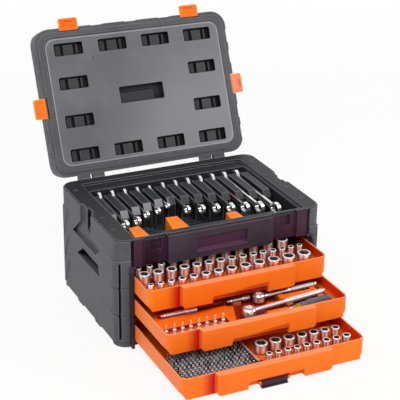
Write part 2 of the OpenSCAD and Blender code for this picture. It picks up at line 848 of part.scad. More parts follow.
module drawer_shell(height, recess_height) {
    step_low = runner_low + slide_gap;
    step_high = runner_high + slide_gap;
    foot = runner_width - drawer_side_gap + 1;
    recess_half = 67;
    recess_middle = -5;
    difference() {
        union() {
            intersection() {
                linear_extrude(height) drawer_plan(0);
                // Cut back over the runners at each side
                along_y(-50, drawer_length + 50)
                    polygon([[-drawer_half + foot, 0], [drawer_half - foot, 0],
                        [drawer_half - foot, step_low], [drawer_half, step_high],
                        [drawer_half, height], [-drawer_half, height],
                        [-drawer_half, step_high], [-drawer_half + foot, step_low]]);
            }
            // Middle of the front, which stands forward
            translate([front_shift, 0, 0])
                along_y(-front_step, drawer_wall + 1)
                    polygon([[-front_middle, 5], [-front_middle + 5, 0], [front_middle - 5, 0],
                        [front_middle, 5], [front_middle, height], [-front_middle, height]]);
        }
        // Inside
        translate([0, 0, max(drawer_floor, step_high + 2)])
            linear_extrude(height) drawer_plan(drawer_wall);
        translate([0, 0, drawer_floor])
            linear_extrude(height)
                intersection() {
                    drawer_plan(drawer_wall);
                    translate([-drawer_half + foot + drawer_wall, 0])
                        square([2*(drawer_half - foot - drawer_wall), drawer_length]);
                }
        // Finger recess under the middle of the front
        translate([recess_middle, 0, 0])
            along_y(-front_step - 1, -1.5)
                polygon([[-recess_half, -1], [recess_half, -1], [recess_half - 2, recess_height],
                    [-recess_half + 2, recess_height]]);
        // Bevel along the top of the front
        along_x(front_shift - front_middle - 1, front_shift + front_middle + 1)
            polygon([[-front_step - 1, height - 1.5], [-front_step + 1.5, height + 1],
                [-front_step - 1, height + 1]]);
    }
}

// Even steps from the first value to the last
function step_between(range, count, i) = range[0] + (range[1] - range[0])*i/(count - 1);

// Place of the i-th piece in a row whose pieces keep one gap between their edges
function row_x(range, count, i, start, gap) = i == 0 ? start :
    row_x(range, count, i - 1, start, gap) + step_between(range, count, i - 1)
        + step_between(range, count, i) + gap;

function socket_drive(r) = r > 11 ? 12.7 : (r > 8.4 ? 9.5 : 6.35);
function socket_base(r) = max(0.8*r, socket_drive(r)*0.5*1.24 + 0.4);

// A chrome socket that stands on its drive end
module socket(r, height) {
    drive = socket_drive(r);
    base = socket_base(r);
    flats = (2*r - 2.4)/1.36;
    waist = height*0.46;
    difference() {
        rotate_extrude()
            polygon([[0, 0], [base - 0.8, 0], [base, 0.8], [base, waist*0.45], [base - 0.5, waist*0.5],
                [base - 0.5, waist*0.62], [base, waist*0.67], [base, waist], [r, waist + 3],
                [r, height - 1], [r - 1, height], [0, height]]);
        for (turn = [0, 30])
            rotate([0, 0, turn])
                translate([0, 0, height*0.55])
                    cylinder(r = flats/sqrt(3), h = height, $fn = 6);
        translate([0, 0, height*0.38]) cylinder(r = flats*0.42, h = height);
        translate([-drive/2, -drive/2, -1]) cube([drive, drive, height*0.4 + 1]);
    }
}

module socket_seat(r, height) {
    cylinder(r = socket_base(r) + seat_clearance, h = height*0.46);
    translate([0, 0, height*0.4]) cylinder(r = r + seat_clearance, h = height);
}

// Heights of the rows: every socket in a row comes up to the same level
function row_height(r) = 25 + 1.15*r;

// One row of sockets, or the seats that they stand in
module socket_row(range, count, start, gap, y, level, extra, seats) {
    for (i = [0 : count - 1]) {
        r = step_between(range, count, i);
        height = row_height(r) + extra;
        translate([row_x(range, count, i, start, gap), y + r, level - height])
            if (seats)
                socket_seat(r, height);
            else
                socket(r, height);
    }
}

upper_level = socket_top - upper_z;
front_row_y = drawer_wall + 2;
middle_row_y = 53;
rear_row_y = 90;

module upper_rows(which, seats) {
    if (which == 0)
        socket_row(front_radii, upper_counts[0], -204.7, 9.35, front_row_y, upper_level, 0, seats);
    if (which == 1)
        socket_row(middle_radii, upper_counts[1], -197, 7.5, middle_row_y, upper_level - 1, 0, seats);
    if (which == 2)
        socket_row(rear_radii, upper_counts[2], -198, 12.3, rear_row_y, upper_level - 1, 0, seats);
}

module upper_drawer() {
    color(orange) in_drawer(upper_z, upper_open) drawer_shell(upper_height, 15);
}

// Outline of a deck that drops into a drawer, between two depths from its front
module deck_outline(x0, x1, y0, y1) {
    intersection() {
        drawer_plan(drawer_wall + 0.2);
        translate([x0, y0]) square([x1 - x0, y1 - y0]);
    }
}

module upper_deck() {
    deck_rear = 126;
    deck_top = 31;
    seat_floor = runner_high + 3.2;
    color(orange)
        in_drawer(upper_z, upper_open)
            difference() {
                translate([0, 0, seat_floor])
                    linear_extrude(deck_top - seat_floor)
                        deck_outline(-case_width, case_width, 0, deck_rear);
                for (row = [0 : 2])
                    upper_rows(row, true);
            }
}

module upper_sockets(row) {
    color(chrome) in_drawer(upper_z, upper_open) upper_rows(row, false);
}

// ---------- Middle drawer ----------

middle_level = middle_height - 0.2;
deck_base = runner_high + 3.2;
tool_deck = 27;
left_deck = 30;
trough_deck = 22;
deck_split = -32;
bit_socket_count = 8;
bit_socket_radius = 5.6;
bit_socket_y = 36;
function bit_socket_x(i) = -201.5 + 18.8*i;
bit_socket_z = trough_deck - 4;
bit_socket_height = 20;
bit_tip_top = middle_height + 3;

module middle_drawer() {
    color(orange) in_drawer(middle_z, middle_open) drawer_shell(middle_height, 14);
}

// Head centre, heading and length of each ratchet, from the drawer's front
large_place = [-6, 41];
large_heading = 6;
large_length = 212;
small_place = [43, 91];
small_heading = 3;
small_length = 160;
ratchet_z = tool_deck + 1;
head_height = 20;
handle_z = ratchet_z + head_height/2 + 1;

module at_large() {
    translate([large_place[0], large_place[1], 0]) rotate([0, 0, large_heading]) children();
}

module at_small() {
    translate([small_place[0], small_place[1], 0]) rotate([0, 0, small_heading]) children();
}

// Handle of a ratchet along +X from its head, grown by a clearance
module ratchet_handle(head, length, grow) {
    neck = head*0.3;
    grip = head*0.45;
    grip_start = length*0.46;
    translate([0, 0, handle_z])
        rotate([0, 90, 0])
            rotate_extrude()
                polygon([[0, 0], [head*0.5 + grow, 0], [neck + grow, head*1.6],
                    [neck + grow, grip_start - 8], [grip + grow, grip_start],
                    [grip*0.86 + grow, grip_start + 4], [grip*0.86 + grow, grip_start + 7],
                    [grip + grow, grip_start + 10], [grip + grow, length - head - 9],
                    [grip*0.8 + grow, length - head - 7], [grip*0.8 + grow, length - head - 4],
                    [grip + grow, length - head - 3], [grip*0.8 + grow, length - head], [0, length - head]]);
}

module ratchet_body(head, length) {
    difference() {
        union() {
            translate([0, 0, ratchet_z])
                rotate_extrude()
                    polygon([[0, 0], [head*0.72, 0], [head, 3], [head, head_height - 3],
                        [head*0.8, head_height], [0, head_height]]);
            ratchet_handle(head, length, 0);
        }
        // Bore for the drive, and the shallow dish under the lever
        translate([0, 0, ratchet_z - 1]) cylinder(r = head*0.48 + running, h = 11);
        translate([0, 0, ratchet_z + head_height - 1.5]) cylinder(r = head*0.62, h = 5);
        translate([0, 0, ratchet_z + head_height - 6]) cylinder(r = 2 + running, h = 10);
    }
}

module ratchet_drive(head, square_size) {
    translate([0, 0, ratchet_z - 1]) cylinder(r = head*0.48, h = 10.6);
    translate([-square_size/2, -square_size/2, ratchet_z - 11]) cube([square_size, square_size, 10.5]);
}

// Thumb lever that turns on a stud in the top of the head
module ratchet_lever(head) {
    top = ratchet_z + head_height - 1.5;
    translate([0, 0, top - 4]) cylinder(r = 2, h = 4.5);
    translate([0, 0, top + 0.2]) cylinder(r = head*0.46, h = 2.4);
    translate([0, 0, top + 0.2])
        linear_extrude(3.4)
            polygon([[0, -head*0.24], [-head*0.58, -head*0.14], [-head*0.58, head*0.14],
                [0, head*0.24]]);
}

spinner_place = [150, 30];
spinner_z = middle_level - 13.4;
spinner_radius = 10.4;
spinner_length = 78;
adapter_place = [-6, 13];
bar_radius = 5.6;
left_bar = [-142, 108];
long_bar = [1, 107];
bar_z = left_deck + 2;
long_bar_z = tool_deck + 7.5;

// A drive extension along X: a thick socket end, a slim shaft and a square end
module extension_bar(length, r, grow) {
    thick = length*0.34;
    translate([-length/2, 0, 0])
        rotate([0, 90, 0])
            rotate_extrude()
                polygon([[0, 0], [r*0.55 + grow, 0], [r*0.55 + grow, 7], [r*0.7 + grow, 9],
                    [r*0.7 + grow, length - thick], [r + grow, length - thick + 3],
                    [r + grow, length - 0.8], [r - 0.8 + grow, length], [0, length]]);
}

module at_left_bar() {
    translate([left_bar[0], left_bar[1], bar_z]) children();
}

module at_long_bar() {
    translate([long_bar[0], long_bar[1], long_bar_z]) children();
}

module at_adapter() {
    translate([adapter_place[0], adapter_place[1], tool_deck + 6.2]) children();
}

module extension_bars() {
    color(chrome)
        in_drawer(middle_z, middle_open) {
            at_left_bar() extension_bar(84, bar_radius + 1, 0);
            at_long_bar() extension_bar(54, bar_radius, 0);
        }
}

module square_adapter() {
    color(chrome)
        in_drawer(middle_z, middle_open)
            at_adapter()
                difference() {
                    extension_bar(34, 6.2, 0);
                    translate([8, -3.2, -3.2]) cube([20, 6.4, 6.4]);
                }
}

// The spinner handle, drawn along +X from its middle
module spinner_handle_form(grow) {
    half = spinner_length/2;
    rotate([0, 90, 0])
        rotate_extrude()
            polygon([[0, -half], [spinner_radius*0.7 + grow, -half], [spinner_radius*0.86 + grow, -half + 3],
                [spinner_radius*0.74 + grow, -half + 12], [spinner_radius + grow, -half + 24],
                [spinner_radius + grow, half - 8], [spinner_radius*0.9 + grow, half - 2],
                [spinner_radius*0.6 + grow, half], [0, half]]);
}

module spinner_shaft_form(grow) {
    reach = 28;
    translate([-spinner_length/2 - reach, 0, 0])
        rotate([0, 90, 0])
            rotate_extrude()
                polygon([[0, 0], [3.4 + grow, 0], [3.4 + grow, 8], [4.2 + grow, 9], [4.2 + grow, reach - 10],
                    [6.6 + grow, reach - 9], [6.6 + grow, reach], [0, reach]]);
}

module at_spinner() {
    translate([spinner_place[0], spinner_place[1], spinner_z]) rotate([0, 0, 4]) children();
}

module spinner_grip() {
    color([0.36, 0.36, 0.39])
        in_drawer(middle_z, middle_open)
            at_spinner()
                difference() {
                    spinner_handle_form(0);
                    // Flutes round the grip
                    for (turn = [0 : 60 : 300])
                        rotate([turn, 0, 0])
                            translate([-4, 0, spinner_radius + 2.2])
                                rotate([0, 90, 0]) cylinder(r = 3.4, h = 34);
                }
}

module spinner_shaft() {
    color(chrome)
        in_drawer(middle_z, middle_open)
            at_spinner() spinner_shaft_form(0);
}

module bit_sockets() {
    color(chrome)
        in_drawer(middle_z, middle_open)
            for (i = [0 : bit_socket_count - 1])
                translate([bit_socket_x(i), bit_socket_y, bit_socket_z])
                    difference() {
                        rotate_extrude()
                            polygon([[0, 0], [bit_socket_radius - 0.6, 0], [bit_socket_radius, 0.6],
                                [bit_socket_radius, 11], [bit_socket_radius*0.72, 14],
                                [bit_socket_radius*0.72, bit_socket_height - 0.6],
                                [bit_socket_radius*0.72 - 0.6, bit_socket_height], [0, bit_socket_height]]);
                        translate([0, 0, 8])
                            cylinder(r = bit_tip_radius(i), h = 20, $fn = 6);
                        translate([-3.2, -3.2, -1]) cube([6.4, 6.4, 7]);
                    }
}

function bit_tip_radius(i) = 1.5 + 0.14*i;

module bit_socket_tips() {
    color([0.25, 0.25, 0.27])
        in_drawer(middle_z, middle_open)
            for (i = [0 : bit_socket_count - 1])
                translate([bit_socket_x(i), bit_socket_y, bit_socket_z + 8])
                    cylinder(r = bit_tip_radius(i), h = bit_tip_top - bit_socket_z - 8, $fn = 6);
}

module middle_deck() {
    deck_rear = 126;
    ridge_z = handle_z + 1;
    ridge_half = 6;
    // Left, right, front and rear of the raised parts between the tools
    islands = [[22, 80, 0, 25], [84, 168, 63, 80]];
    color(orange)
        in_drawer(middle_z, middle_open)
            difference() {
                union() {
                    translate([0, 0, deck_base])
                        linear_extrude(left_deck - deck_base)
                            deck_outline(-case_width, deck_split, 0, deck_rear);
                    translate([0, 0, deck_base])
                        linear_extrude(tool_deck - deck_base)
                            deck_outline(deck_split - 1, case_width, 0, deck_rear);
                    for (p = islands)
                        translate([0, 0, deck_base])
                            linear_extrude(ridge_z - deck_base)
                                deck_outline(p[0], p[1], p[2], p[3]);
                    // Cradle under the short extension bar
                    translate([0, 0, deck_base])
                        linear_extrude(long_bar_z - 1 - deck_base)
                            deck_outline(long_bar[0] - 16, long_bar[0] + 2, long_bar[1] - 10,
                                long_bar[1] + 10);
                    // Cradles under the ratchet handles
                    for (x = [92, 172])
                        translate([0, 0, deck_base])
                            linear_extrude(ridge_z - deck_base)
                                deck_outline(x - ridge_half, x + ridge_half, 22, deck_rear - 12);
                    // Seat of the spinner handle
                    translate([0, 0, deck_base])
                        linear_extrude(spinner_z - 2 - deck_base)
                            deck_outline(96, 200, 0, 44);
                }
                // Trough that the bit sockets stand in
                box(-drawer_half + drawer_wall + 6, bit_socket_x(bit_socket_count - 1) + 14, 10, 56,
                    trough_deck, left_deck + 1);
                for (i = [0 : bit_socket_count - 1])
                    translate([bit_socket_x(i), bit_socket_y, bit_socket_z])
                        cylinder(r = bit_socket_radius + seat_clearance, h = 60);
                at_large() {
                    ratchet_clearance(large_head, large_length);
                    translate([0, 0, ratchet_z - 12.5]) cylinder(r = 12.7*0.75, h = 20);
                }
                at_small() {
                    ratchet_clearance(small_head, small_length);
                    translate([0, 0, ratchet_z - 12.5]) cylinder(r = 9.5*0.75, h = 20);
                }
                at_left_bar() {
                    extension_bar(84, bar_radius + 1, seat_clearance);
                    translate([-42.4, -bar_radius - 1.4, 0]) cube([84.8, 2*bar_radius + 2.8, 30]);
                }
                at_long_bar() extension_bar(54, bar_radius, seat_clearance);
                at_adapter() extension_bar(34, 6.2, seat_clearance);
                at_spinner() {
                    spinner_handle_form(seat_clearance);
                    spinner_shaft_form(seat_clearance);
                    translate([-spinner_length/2 - 28.6, -spinner_radius*0.8, 0])
                        cube([40, spinner_radius*1.6, 30]);
                    translate([-spinner_length/2, -spinner_radius - 0.4, 0])
                        cube([spinner_length + 0.4, 2*spinner_radius + 0.8, 30]);
                }
            }
}

// Space that a lying ratchet takes out of its deck
module ratchet_clearance(head, length) {
    translate([0, 0, ratchet_z]) cylinder(r = head + seat_clearance, h = 60);
    ratchet_handle(head, length, seat_clearance);
    translate([0, -head*0.45 - seat_clearance, handle_z])
        cube([length - head + seat_clearance, head*0.9 + 2*seat_clearance, 60]);
}

// ---------- Lower drawer ----------

lower_level = lower_height - 0.4;
case_x = [-206, -28];
case_y = [6, 118];
bit_case_top = 31;
bit_seat = bit_case_top - 9;
tall_count = 7;
short_count = 9;
rail_x = -34;

module lower_drawer() {
    recess = 17;
    color(orange)
        in_drawer(lower_z, lower_open) {
            drawer_shell(lower_height, recess);
            catch_lugs();
        }
}

module bit_places() {
    first = case_x[0] + 7;
    for (i = [0 : bit_grid[0] - 1])
        for (j = [0 : bit_grid[1] - 1])
            translate([first + i*bit_pitch, case_y[0] + 9 + j*(bit_pitch + 1), bit_seat]) children();
}

module bit_case() {
    border = 4;
    color(black)
        in_drawer(lower_z, lower_open)
            difference() {
                union() {
                    box(case_x[0], case_x[1], case_y[0], case_y[1], deck_base, bit_case_top);
                    for (y = [case_y[0], case_y[1] - border])
                        box(rail_x - 4, case_x[1], y, y + border, deck_base, lower_level - 1);
                }
                bit_places() cylinder(r = 3.9, h = 40);
                translate([rail_x, case_y[0] + 1.5, lower_level - 6])
                    rotate([-90, 0, 0]) cylinder(r = 2.4, h = case_y[1] - case_y[0] - 3);
            }
}

module bit_case_rail() {
    color(chrome)
        in_drawer(lower_z, lower_open)
            translate([rail_x, case_y[0] + 1.5, lower_level - 6])
                rotate([-90, 0, 0]) cylinder(r = 2.4, h = case_y[1] - case_y[0] - 3);
}

// Screwdriver bits: a hex shank and a slim round point
module driver_bits() {
    shank = bit_length*0.62;
    color([0.3, 0.3, 0.32])
        in_drawer(lower_z, lower_open)
            bit_places() {
                cylinder(r = 3.66, h = shank, $fn = 6);
                cylinder(r = 2, h = bit_length, $fn = 16);
            }
}

module lower_rows(tall, seats) {
    if (tall)
        socket_row(tall_radii, tall_count, 2, 6.4, 60, lower_level, 2, seats);
    else
        socket_row(short_radii, short_count, -2, 6.8, 22, lower_level - 1, -3, seats);
}

module lower_deck() {
    deck_rear = 118;
    deck_top = 26;
    color(orange)
        in_drawer(lower_z, lower_open)
            difference() {
                translate([0, 0, deck_base])
                    linear_extrude(deck_top - deck_base)
                        deck_outline(case_x[1] + 0.5, case_width, 0, deck_rear);
                lower_rows(true, true);
                lower_rows(false, true);
            }
}

module tall_sockets() {
    color(chrome) in_drawer(lower_z, lower_open) lower_rows(true, false);
}

module short_sockets() {
    color(chrome) in_drawer(lower_z, lower_open) lower_rows(false, false);
}

// Catch under the lower drawer's front: it hangs on two stub pins between the drawer's lugs
catch_x = -8;
catch_half = 31;
catch_line = [-6.4, 4.6];
catch_pin = 1.6;
catch_lug = 5;

module drawer_catch() {
    color(black)
        in_drawer(lower_z, lower_open)
            translate([catch_x, catch_line[0], catch_line[1]]) {
                along_x(-catch_half, catch_half) {
                    circle(3);
                    polygon([[-3, 0], [-3, -10], [-6.4, -9], [-6.4, -11.9], [2.4, -11.9], [3, -10],
                        [3, 0]]);
                }
                rotate([0, 90, 0]) cylinder(r = catch_pin, h = 2*catch_half + 8, center = true);
            }
}

module catch_lugs() {
    translate([catch_x, 0, 0]) difference() {
        for (side = [-1, 1])
            scale([side, 1, 1])
                box(catch_half + 0.4, catch_half + 0.4 + catch_lug, catch_line[0] - 3.4, -1, 1.2, 9);
        translate([0, catch_line[0], catch_line[1]])
            rotate([0, 90, 0])
                cylinder(r = catch_pin + running, h = 2*catch_half + 40, center = true);
    }
}

// ---------- What is drawn ----------

side_panel_left();
side_panel_right();
back_wall();
floor_pan();
front_panel();
drawer_runners();
tray_frame();
wrench_rack();
tray_screws();
hinge_pins();
placed_wrench(0);  // wrench_01
placed_wrench(1);  // wrench_02
placed_wrench(2);  // wrench_03
placed_wrench(3);  // wrench_04
placed_wrench(4);  // wrench_05
placed_wrench(5);  // wrench_06
placed_wrench(6);  // wrench_07
placed_wrench(7);  // wrench_08
placed_wrench(8);  // wrench_09
placed_wrench(9);  // wrench_10
placed_wrench(10);  // wrench_11
placed_wrench(11);  // wrench_12
key_holders();
hex_keys();
lid_shell();
lid_liner();
latch_pins();
front_latch(-1);  // front_latch_left
front_latch(1);  // front_latch_right
side_latch(-1);  // side_latch_left
side_latch(1);  // side_latch_right
upper_drawer();
upper_deck();
upper_sockets(0);  // upper_front_sockets
upper_sockets(1);  // upper_middle_sockets
upper_sockets(2);  // upper_rear_sockets
middle_drawer();
middle_deck();
bit_sockets();
bit_socket_tips();
extension_bars();
color(chrome) in_drawer(middle_z, middle_open) at_large() ratchet_body(large_head, large_length);  // large_ratchet
color(chrome) in_drawer(middle_z, middle_open) at_large() ratchet_lever(large_head);  // large_ratchet_lever
color(chrome) in_drawer(middle_z, middle_open) at_large() ratchet_drive(large_head, 12.7);  // large_ratchet_drive
color(chrome) in_drawer(middle_z, middle_open) at_small() ratchet_body(small_head, small_length);  // small_ratchet
color(chrome) in_drawer(middle_z, middle_open) at_small() ratchet_lever(small_head);  // small_ratchet_lever
color(chrome) in_drawer(middle_z, middle_open) at_small() ratchet_drive(small_head, 9.5);  // small_ratchet_drive
spinner_grip();
spinner_shaft();
square_adapter();
lower_drawer();
lower_deck();
bit_case();
driver_bits();
bit_case_rail();
tall_sockets();
short_sockets();
drawer_catch();
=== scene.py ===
import json
import math

import bpy
from mathutils import Matrix, Vector


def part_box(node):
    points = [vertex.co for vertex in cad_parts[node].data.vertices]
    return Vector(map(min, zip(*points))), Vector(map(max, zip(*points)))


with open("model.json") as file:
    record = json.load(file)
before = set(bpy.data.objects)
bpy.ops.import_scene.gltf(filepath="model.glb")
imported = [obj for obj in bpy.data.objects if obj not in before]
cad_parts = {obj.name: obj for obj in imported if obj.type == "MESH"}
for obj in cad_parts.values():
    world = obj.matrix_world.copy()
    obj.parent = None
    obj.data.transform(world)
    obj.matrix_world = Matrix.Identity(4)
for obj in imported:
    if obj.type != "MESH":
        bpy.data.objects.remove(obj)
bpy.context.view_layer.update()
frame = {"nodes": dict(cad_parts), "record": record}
cadNodes = frame["nodes"]


# camera first, so that everything after it can be judged in view
camera = {
    "place": (-1.1557, -2.5064, 1.4255),
    "turn": -25.3,   # degrees round the case from straight in front
    "rise": 23.2,    # degrees above level
    "roll": 0.7,
    "lens": 116.96,
    "sensor": 36.0,
    "clip": (0.05, 40),
}


def makeCamera(spec):
    turn, rise, roll = (math.radians(spec[k]) for k in ("turn", "rise", "roll"))
    back = Vector((math.sin(turn) * math.cos(rise), -math.cos(turn) * math.cos(rise), math.sin(rise)))
    right = Vector((0, 0, 1)).cross(back).normalized()
    up = back.cross(right)
    tiltedRight = right * math.cos(roll) + up * math.sin(roll)
    tiltedUp = up * math.cos(roll) - right * math.sin(roll)
    data = bpy.data.cameras.new("camera")
    data.lens = spec["lens"]
    data.sensor_width = spec["sensor"]
    data.clip_start, data.clip_end = spec["clip"]
    camObject = bpy.data.objects.new("camera", data)
    turned = Matrix((tiltedRight, tiltedUp, back)).transposed().to_4x4()
    camObject.matrix_world = Matrix.Translation(Vector(spec["place"])) @ turned
    bpy.context.scene.collection.objects.link(camObject)
    bpy.context.scene.camera = camObject


makeCamera(camera)
print("camera:", camera["lens"], "mm")


# shader building: a Wire is one socket that sums can be written on, a Finish is one material
class Wire:
    def __init__(self, finish, socket):
        self.finish = finish
        self.socket = socket

    def math(self, operation, *others, clamp=False):
        values = dict(enumerate((self,) + others))
        return self.finish.add("Math", {"operation": operation, "use_clamp": clamp}, values)

    def reflected(self, operation, other):  # the same, with the plain value written first
        return self.finish.add("Math", {"operation": operation}, {0: other, 1: self})

    def __add__(self, other):
        return self.math("ADD", other)

    def __sub__(self, other):
        return self.math("SUBTRACT", other)

    def __rsub__(self, other):
        return self.reflected("SUBTRACT", other)

    def __mul__(self, other):
        return self.math("MULTIPLY", other)

    def __truediv__(self, other):
        return self.math("DIVIDE", other)

    def __rtruediv__(self, other):
        return self.reflected("DIVIDE", other)

    def __pow__(self, other):
        return self.math("POWER", other)

    def __rpow__(self, other):
        return self.reflected("POWER", other)

    __radd__ = __add__
    __rmul__ = __mul__

    def between(self, low, high):  # 0 at low, 1 at high, held inside 0 to 1
        values = {0: self, 1: low, 2: high, 3: 0.0, 4: 1.0}
        return self.finish.add("MapRange", {"interpolation_type": "SMOOTHSTEP"}, values)

    def part(self, axis):  # one component of a vector
        return self.finish.add("SeparateXYZ", None, {0: self}, out=axis)

    def vector(self, operation, *others):  # a vector sum that gives one value
        values = dict(enumerate((self,) + others))
        return self.finish.add("VectorMath", {"operation": operation}, values, out="Value")

    def along(self, direction):
        return self.vector("DOT_PRODUCT", direction)


class Finish:
    def __init__(self, name):
        self.material = bpy.data.materials.new(name)
        self.material.use_nodes = True
        self.tree = self.material.node_tree
        self.shader = self.tree.nodes["Principled BSDF"]
        self.place = self.add("TexCoord", out="Object")
        self.facing = self.add("TexCoord", out="Normal")  # turns with the piece

    def add(self, kind, settings=None, values=None, out=0):
        node = self.tree.nodes.new("ShaderNode" + kind)
        for key, value in (settings or {}).items():
            if key == "stops":
                ends = node.color_ramp.elements
                for stop, (where, colour) in zip((ends[0], ends[1]), (value[0], value[-1])):
                    stop.position, stop.color = where, colour
                for where, colour in value[1:-1]:
                    ends.new(where).color = colour
            else:
                setattr(node, key, value)
        self.feed(node, values or {})
        return Wire(self, node.outputs[out])

    def feed(self, node, values):
        for key, value in values.items():
            if isinstance(value, Wire):
                self.tree.links.new(value.socket, node.inputs[key])
            else:
                node.inputs[key].default_value = value

    def blend(self, amount, first, second, how="MIX"):
        settings = {"data_type": "RGBA", "blend_type": how}
        return self.add("Mix", settings, {0: amount, 6: first, 7: second}, out=2)

    def noise(self, scale, detail=2.0, rough=0.5, vector=None, bend=0.0):
        values = {"Vector": vector or self.place, "Scale": scale, "Detail": detail}
        values.update({"Roughness": rough, "Distortion": bend})
        return self.add("TexNoise", {"noise_dimensions": "3D"}, values)

    def stretched(self, x, y, z):
        return self.add("VectorMath", {"operation": "MULTIPLY"}, {0: self.place, 1: (x, y, z)})

    def rounded(self, radius):  # normal of the surface with its edges eased
        return self.add("Bevel", {"samples": 4}, {"Radius": radius})

    def edges(self, eased):  # 0 on flat faces, 1 on eased edges
        flat = self.add("NewGeometry", out="Normal")
        return (1.0 - eased.along(flat)).between(0.004, 0.09)

    def hollow(self, reach, alone=True):  # 1 deep inside a recess, 0 in the open
        settings = {"samples": 8, "only_local": alone}  # alone: other pieces don't count
        return 1.0 - self.add("AmbientOcclusion", settings, {"Distance": reach}, out="AO")

    def inside(self, low, high, soft):  # 1 in a box given by its corners, None where a side is open
        mask = None
        for axis in range(3):
            here = self.place.part(axis)
            for limit, sign in ((low[axis], 1), (high[axis], -1)):
                if limit is None:
                    continue
                step = here.between(limit - soft, limit + soft)
                step = step if sign > 0 else 1.0 - step
                mask = step if mask is None else mask * step
        return mask

    def bump(self, height, strength, distance, normal):
        values = {"Strength": strength, "Distance": distance, "Height": height, "Normal": normal}
        return self.add("Bump", None, values)

    def set(self, **values):
        named = {key.replace("_", " "): value for key, value in values.items()}
        self.feed(self.shader, named)
        return self.material


def tint(code, alpha=1.0):  # a colour as written on screen, turned to light levels
    parts = [int(code[i:i + 2], 16) / 255 for i in (0, 2, 4)]
    light = [p / 12.92 if p <= 0.04045 else ((p + 0.055) / 1.055) ** 2.4 for p in parts]
    return (*light, alpha)


def mouldedPlastic(name, look, extra=None):
    f = Finish(name)
    eased = f.rounded(look["edge"])
    rim = f.edges(eased)
    cloud = f.noise(look["cloudScale"], 4, 0.6)
    grain = f.noise(look["grainScale"], 2, 0.55)
    scuff = f.noise(look["scuffScale"], 6, 0.7, f.stretched(*look["scuffRun"]), 1.2).between(0.56, 0.74)
    body = f.blend(cloud.between(0.3, 0.7), tint(look["dark"]), tint(look["light"]))
    body = f.blend(grain.between(0.35, 0.75) * look["speck"], body, tint(look["wornAndLit"]))
    # painted light: upward faces take a tone of their own for how the light falls from above
    if "top" in look:
        upward = f.facing.part(2).between(0.55, 0.9)
        body = f.blend(upward * look["topAmount"], body, tint(look["top"]))
    if extra:
        body = extra(f, body)
    # painted shade deep in recesses and hollows, by how closed-in each point is
    depth = f.hollow(look["reach"], look.get("alone", True))
    depth = depth.between(look["from"], look["to"]) * look["depth"]
    body = f.blend(depth, body, tint(look["hollowShade"]))
    # lighter edges: partly real scuffed wear, partly a painted highlight where edges catch the light
    wornAndLit = rim * (0.55 + 0.45 * scuff) * look["edgeWearAndLight"] * (1.0 - 0.6 * depth)
    colour = f.blend(wornAndLit, body, tint(look["wornAndLit"]))
    rough = look["rough"] + 0.10 * (cloud - 0.5) + 0.06 * (grain - 0.5) - 0.10 * scuff
    height = grain + 0.5 * f.noise(look["grainScale"] * 0.31, 2, 0.5)
    return f.set(
        Base_Color=colour,
        Roughness=rough,
        Normal=f.bump(height, look["bump"], look["grainDepth"], eased),
        IOR=look["ior"],
        Specular_IOR_Level=look["shine"],
    )


shellLook = {
    "dark": "48484c", "light": "545458", "wornAndLit": "b0b0b6", "edge": 0.0022, "cloudScale": 9.0,
    "grainScale": 900.0, "speck": 0.08, "edgeWearAndLight": 0.85, "rough": 0.5, "bump": 0.35, "shine": 0.25,
    "hollowShade": "141416", "reach": 0.03, "from": 0.42, "to": 0.85, "depth": 0.9,  # painted shade in recesses
    "scuffScale": 60, "scuffRun": (1.0, 0.25, 0.6), "grainDepth": 0.0004, "ior": 1.48,
}
linerLook = dict(
    shellLook, dark="606064", light="6e6e72", wornAndLit="a2a2a8", rough=0.46, edge=0.0012, hollowShade="0a0a0c",
    depth=0.97,
)
linerLook.update({"from": 0.25, "to": 0.6})
trayLook = dict(
    shellLook, dark="121214", light="1b1b1e", wornAndLit="bcbcc2", speck=0.07, edgeWearAndLight=1.0, edge=0.0024,
    hollowShade="060607", reach=0.04,
)
frontLook = dict(
    shellLook, dark="332732", light="40343f", wornAndLit="83707f", rough=0.36, edge=0.0014, hollowShade="1e0c16",
    reach=0.02,
)
blackLook = dict(
    shellLook, dark="1c161b", light="2a2228", wornAndLit="6b6068", rough=0.4, edge=0.0008, hollowShade="080607",
    reach=0.01,
)
orangeLook = dict(
    shellLook, dark="ff6f0c", light="ff7c12", wornAndLit="ffb078", edge=0.003, cloudScale=6.0,
    grainScale=700.0, speck=0.05, edgeWearAndLight=0.9, rough=0.36, bump=0.12, hollowShade="a80800", reach=0.035,
    depth=0.92, top="ff700c", topAmount=0.5,
)
deckLook = dict(orangeLook, alone=False, reach=0.03, hollowShade="600402")
deckLook.update({"from": 0.3, "to": 0.62})
latchLook = dict(orangeLook, dark="f8690a", light="ff7a12", edge=0.0034, wornAndLit="ffb45c", edgeWearAndLight=1.0)
# a paler copy of the latch plastic for the right side latch: a painted sheen on the same orange
sheenLatchLook = dict(latchLook, dark="f88c66", light="fb9c7c", wornAndLit="ffd0bc", top="f89878")
holderLook = dict(orangeLook, dark="f87800", light="ff8404", wornAndLit="ffb048", top="fc8000")
catchLook = dict(blackLook, dark="37202e", light="442a3a", wornAndLit="7a5a6a")


lidLean = math.radians(23.3)  # how far the open lid stands behind upright
lid = {
    "across": Vector((1, 0, 0)),
    "face": Vector((0, -math.cos(lidLean), math.sin(lidLean))),
    "up": Vector((0, math.sin(lidLean), math.cos(lidLean))),
}


def reachAlong(nodeName, direction):  # how far the points of a node lie along a direction
    far = [v.co.dot(direction) for v in cadNodes[nodeName].data.vertices]
    return min(far), max(far)


def onLid(f):  # place on the open lid: across it and up it
    return f.place.part(0), f.place.along(tuple(lid["up"]))


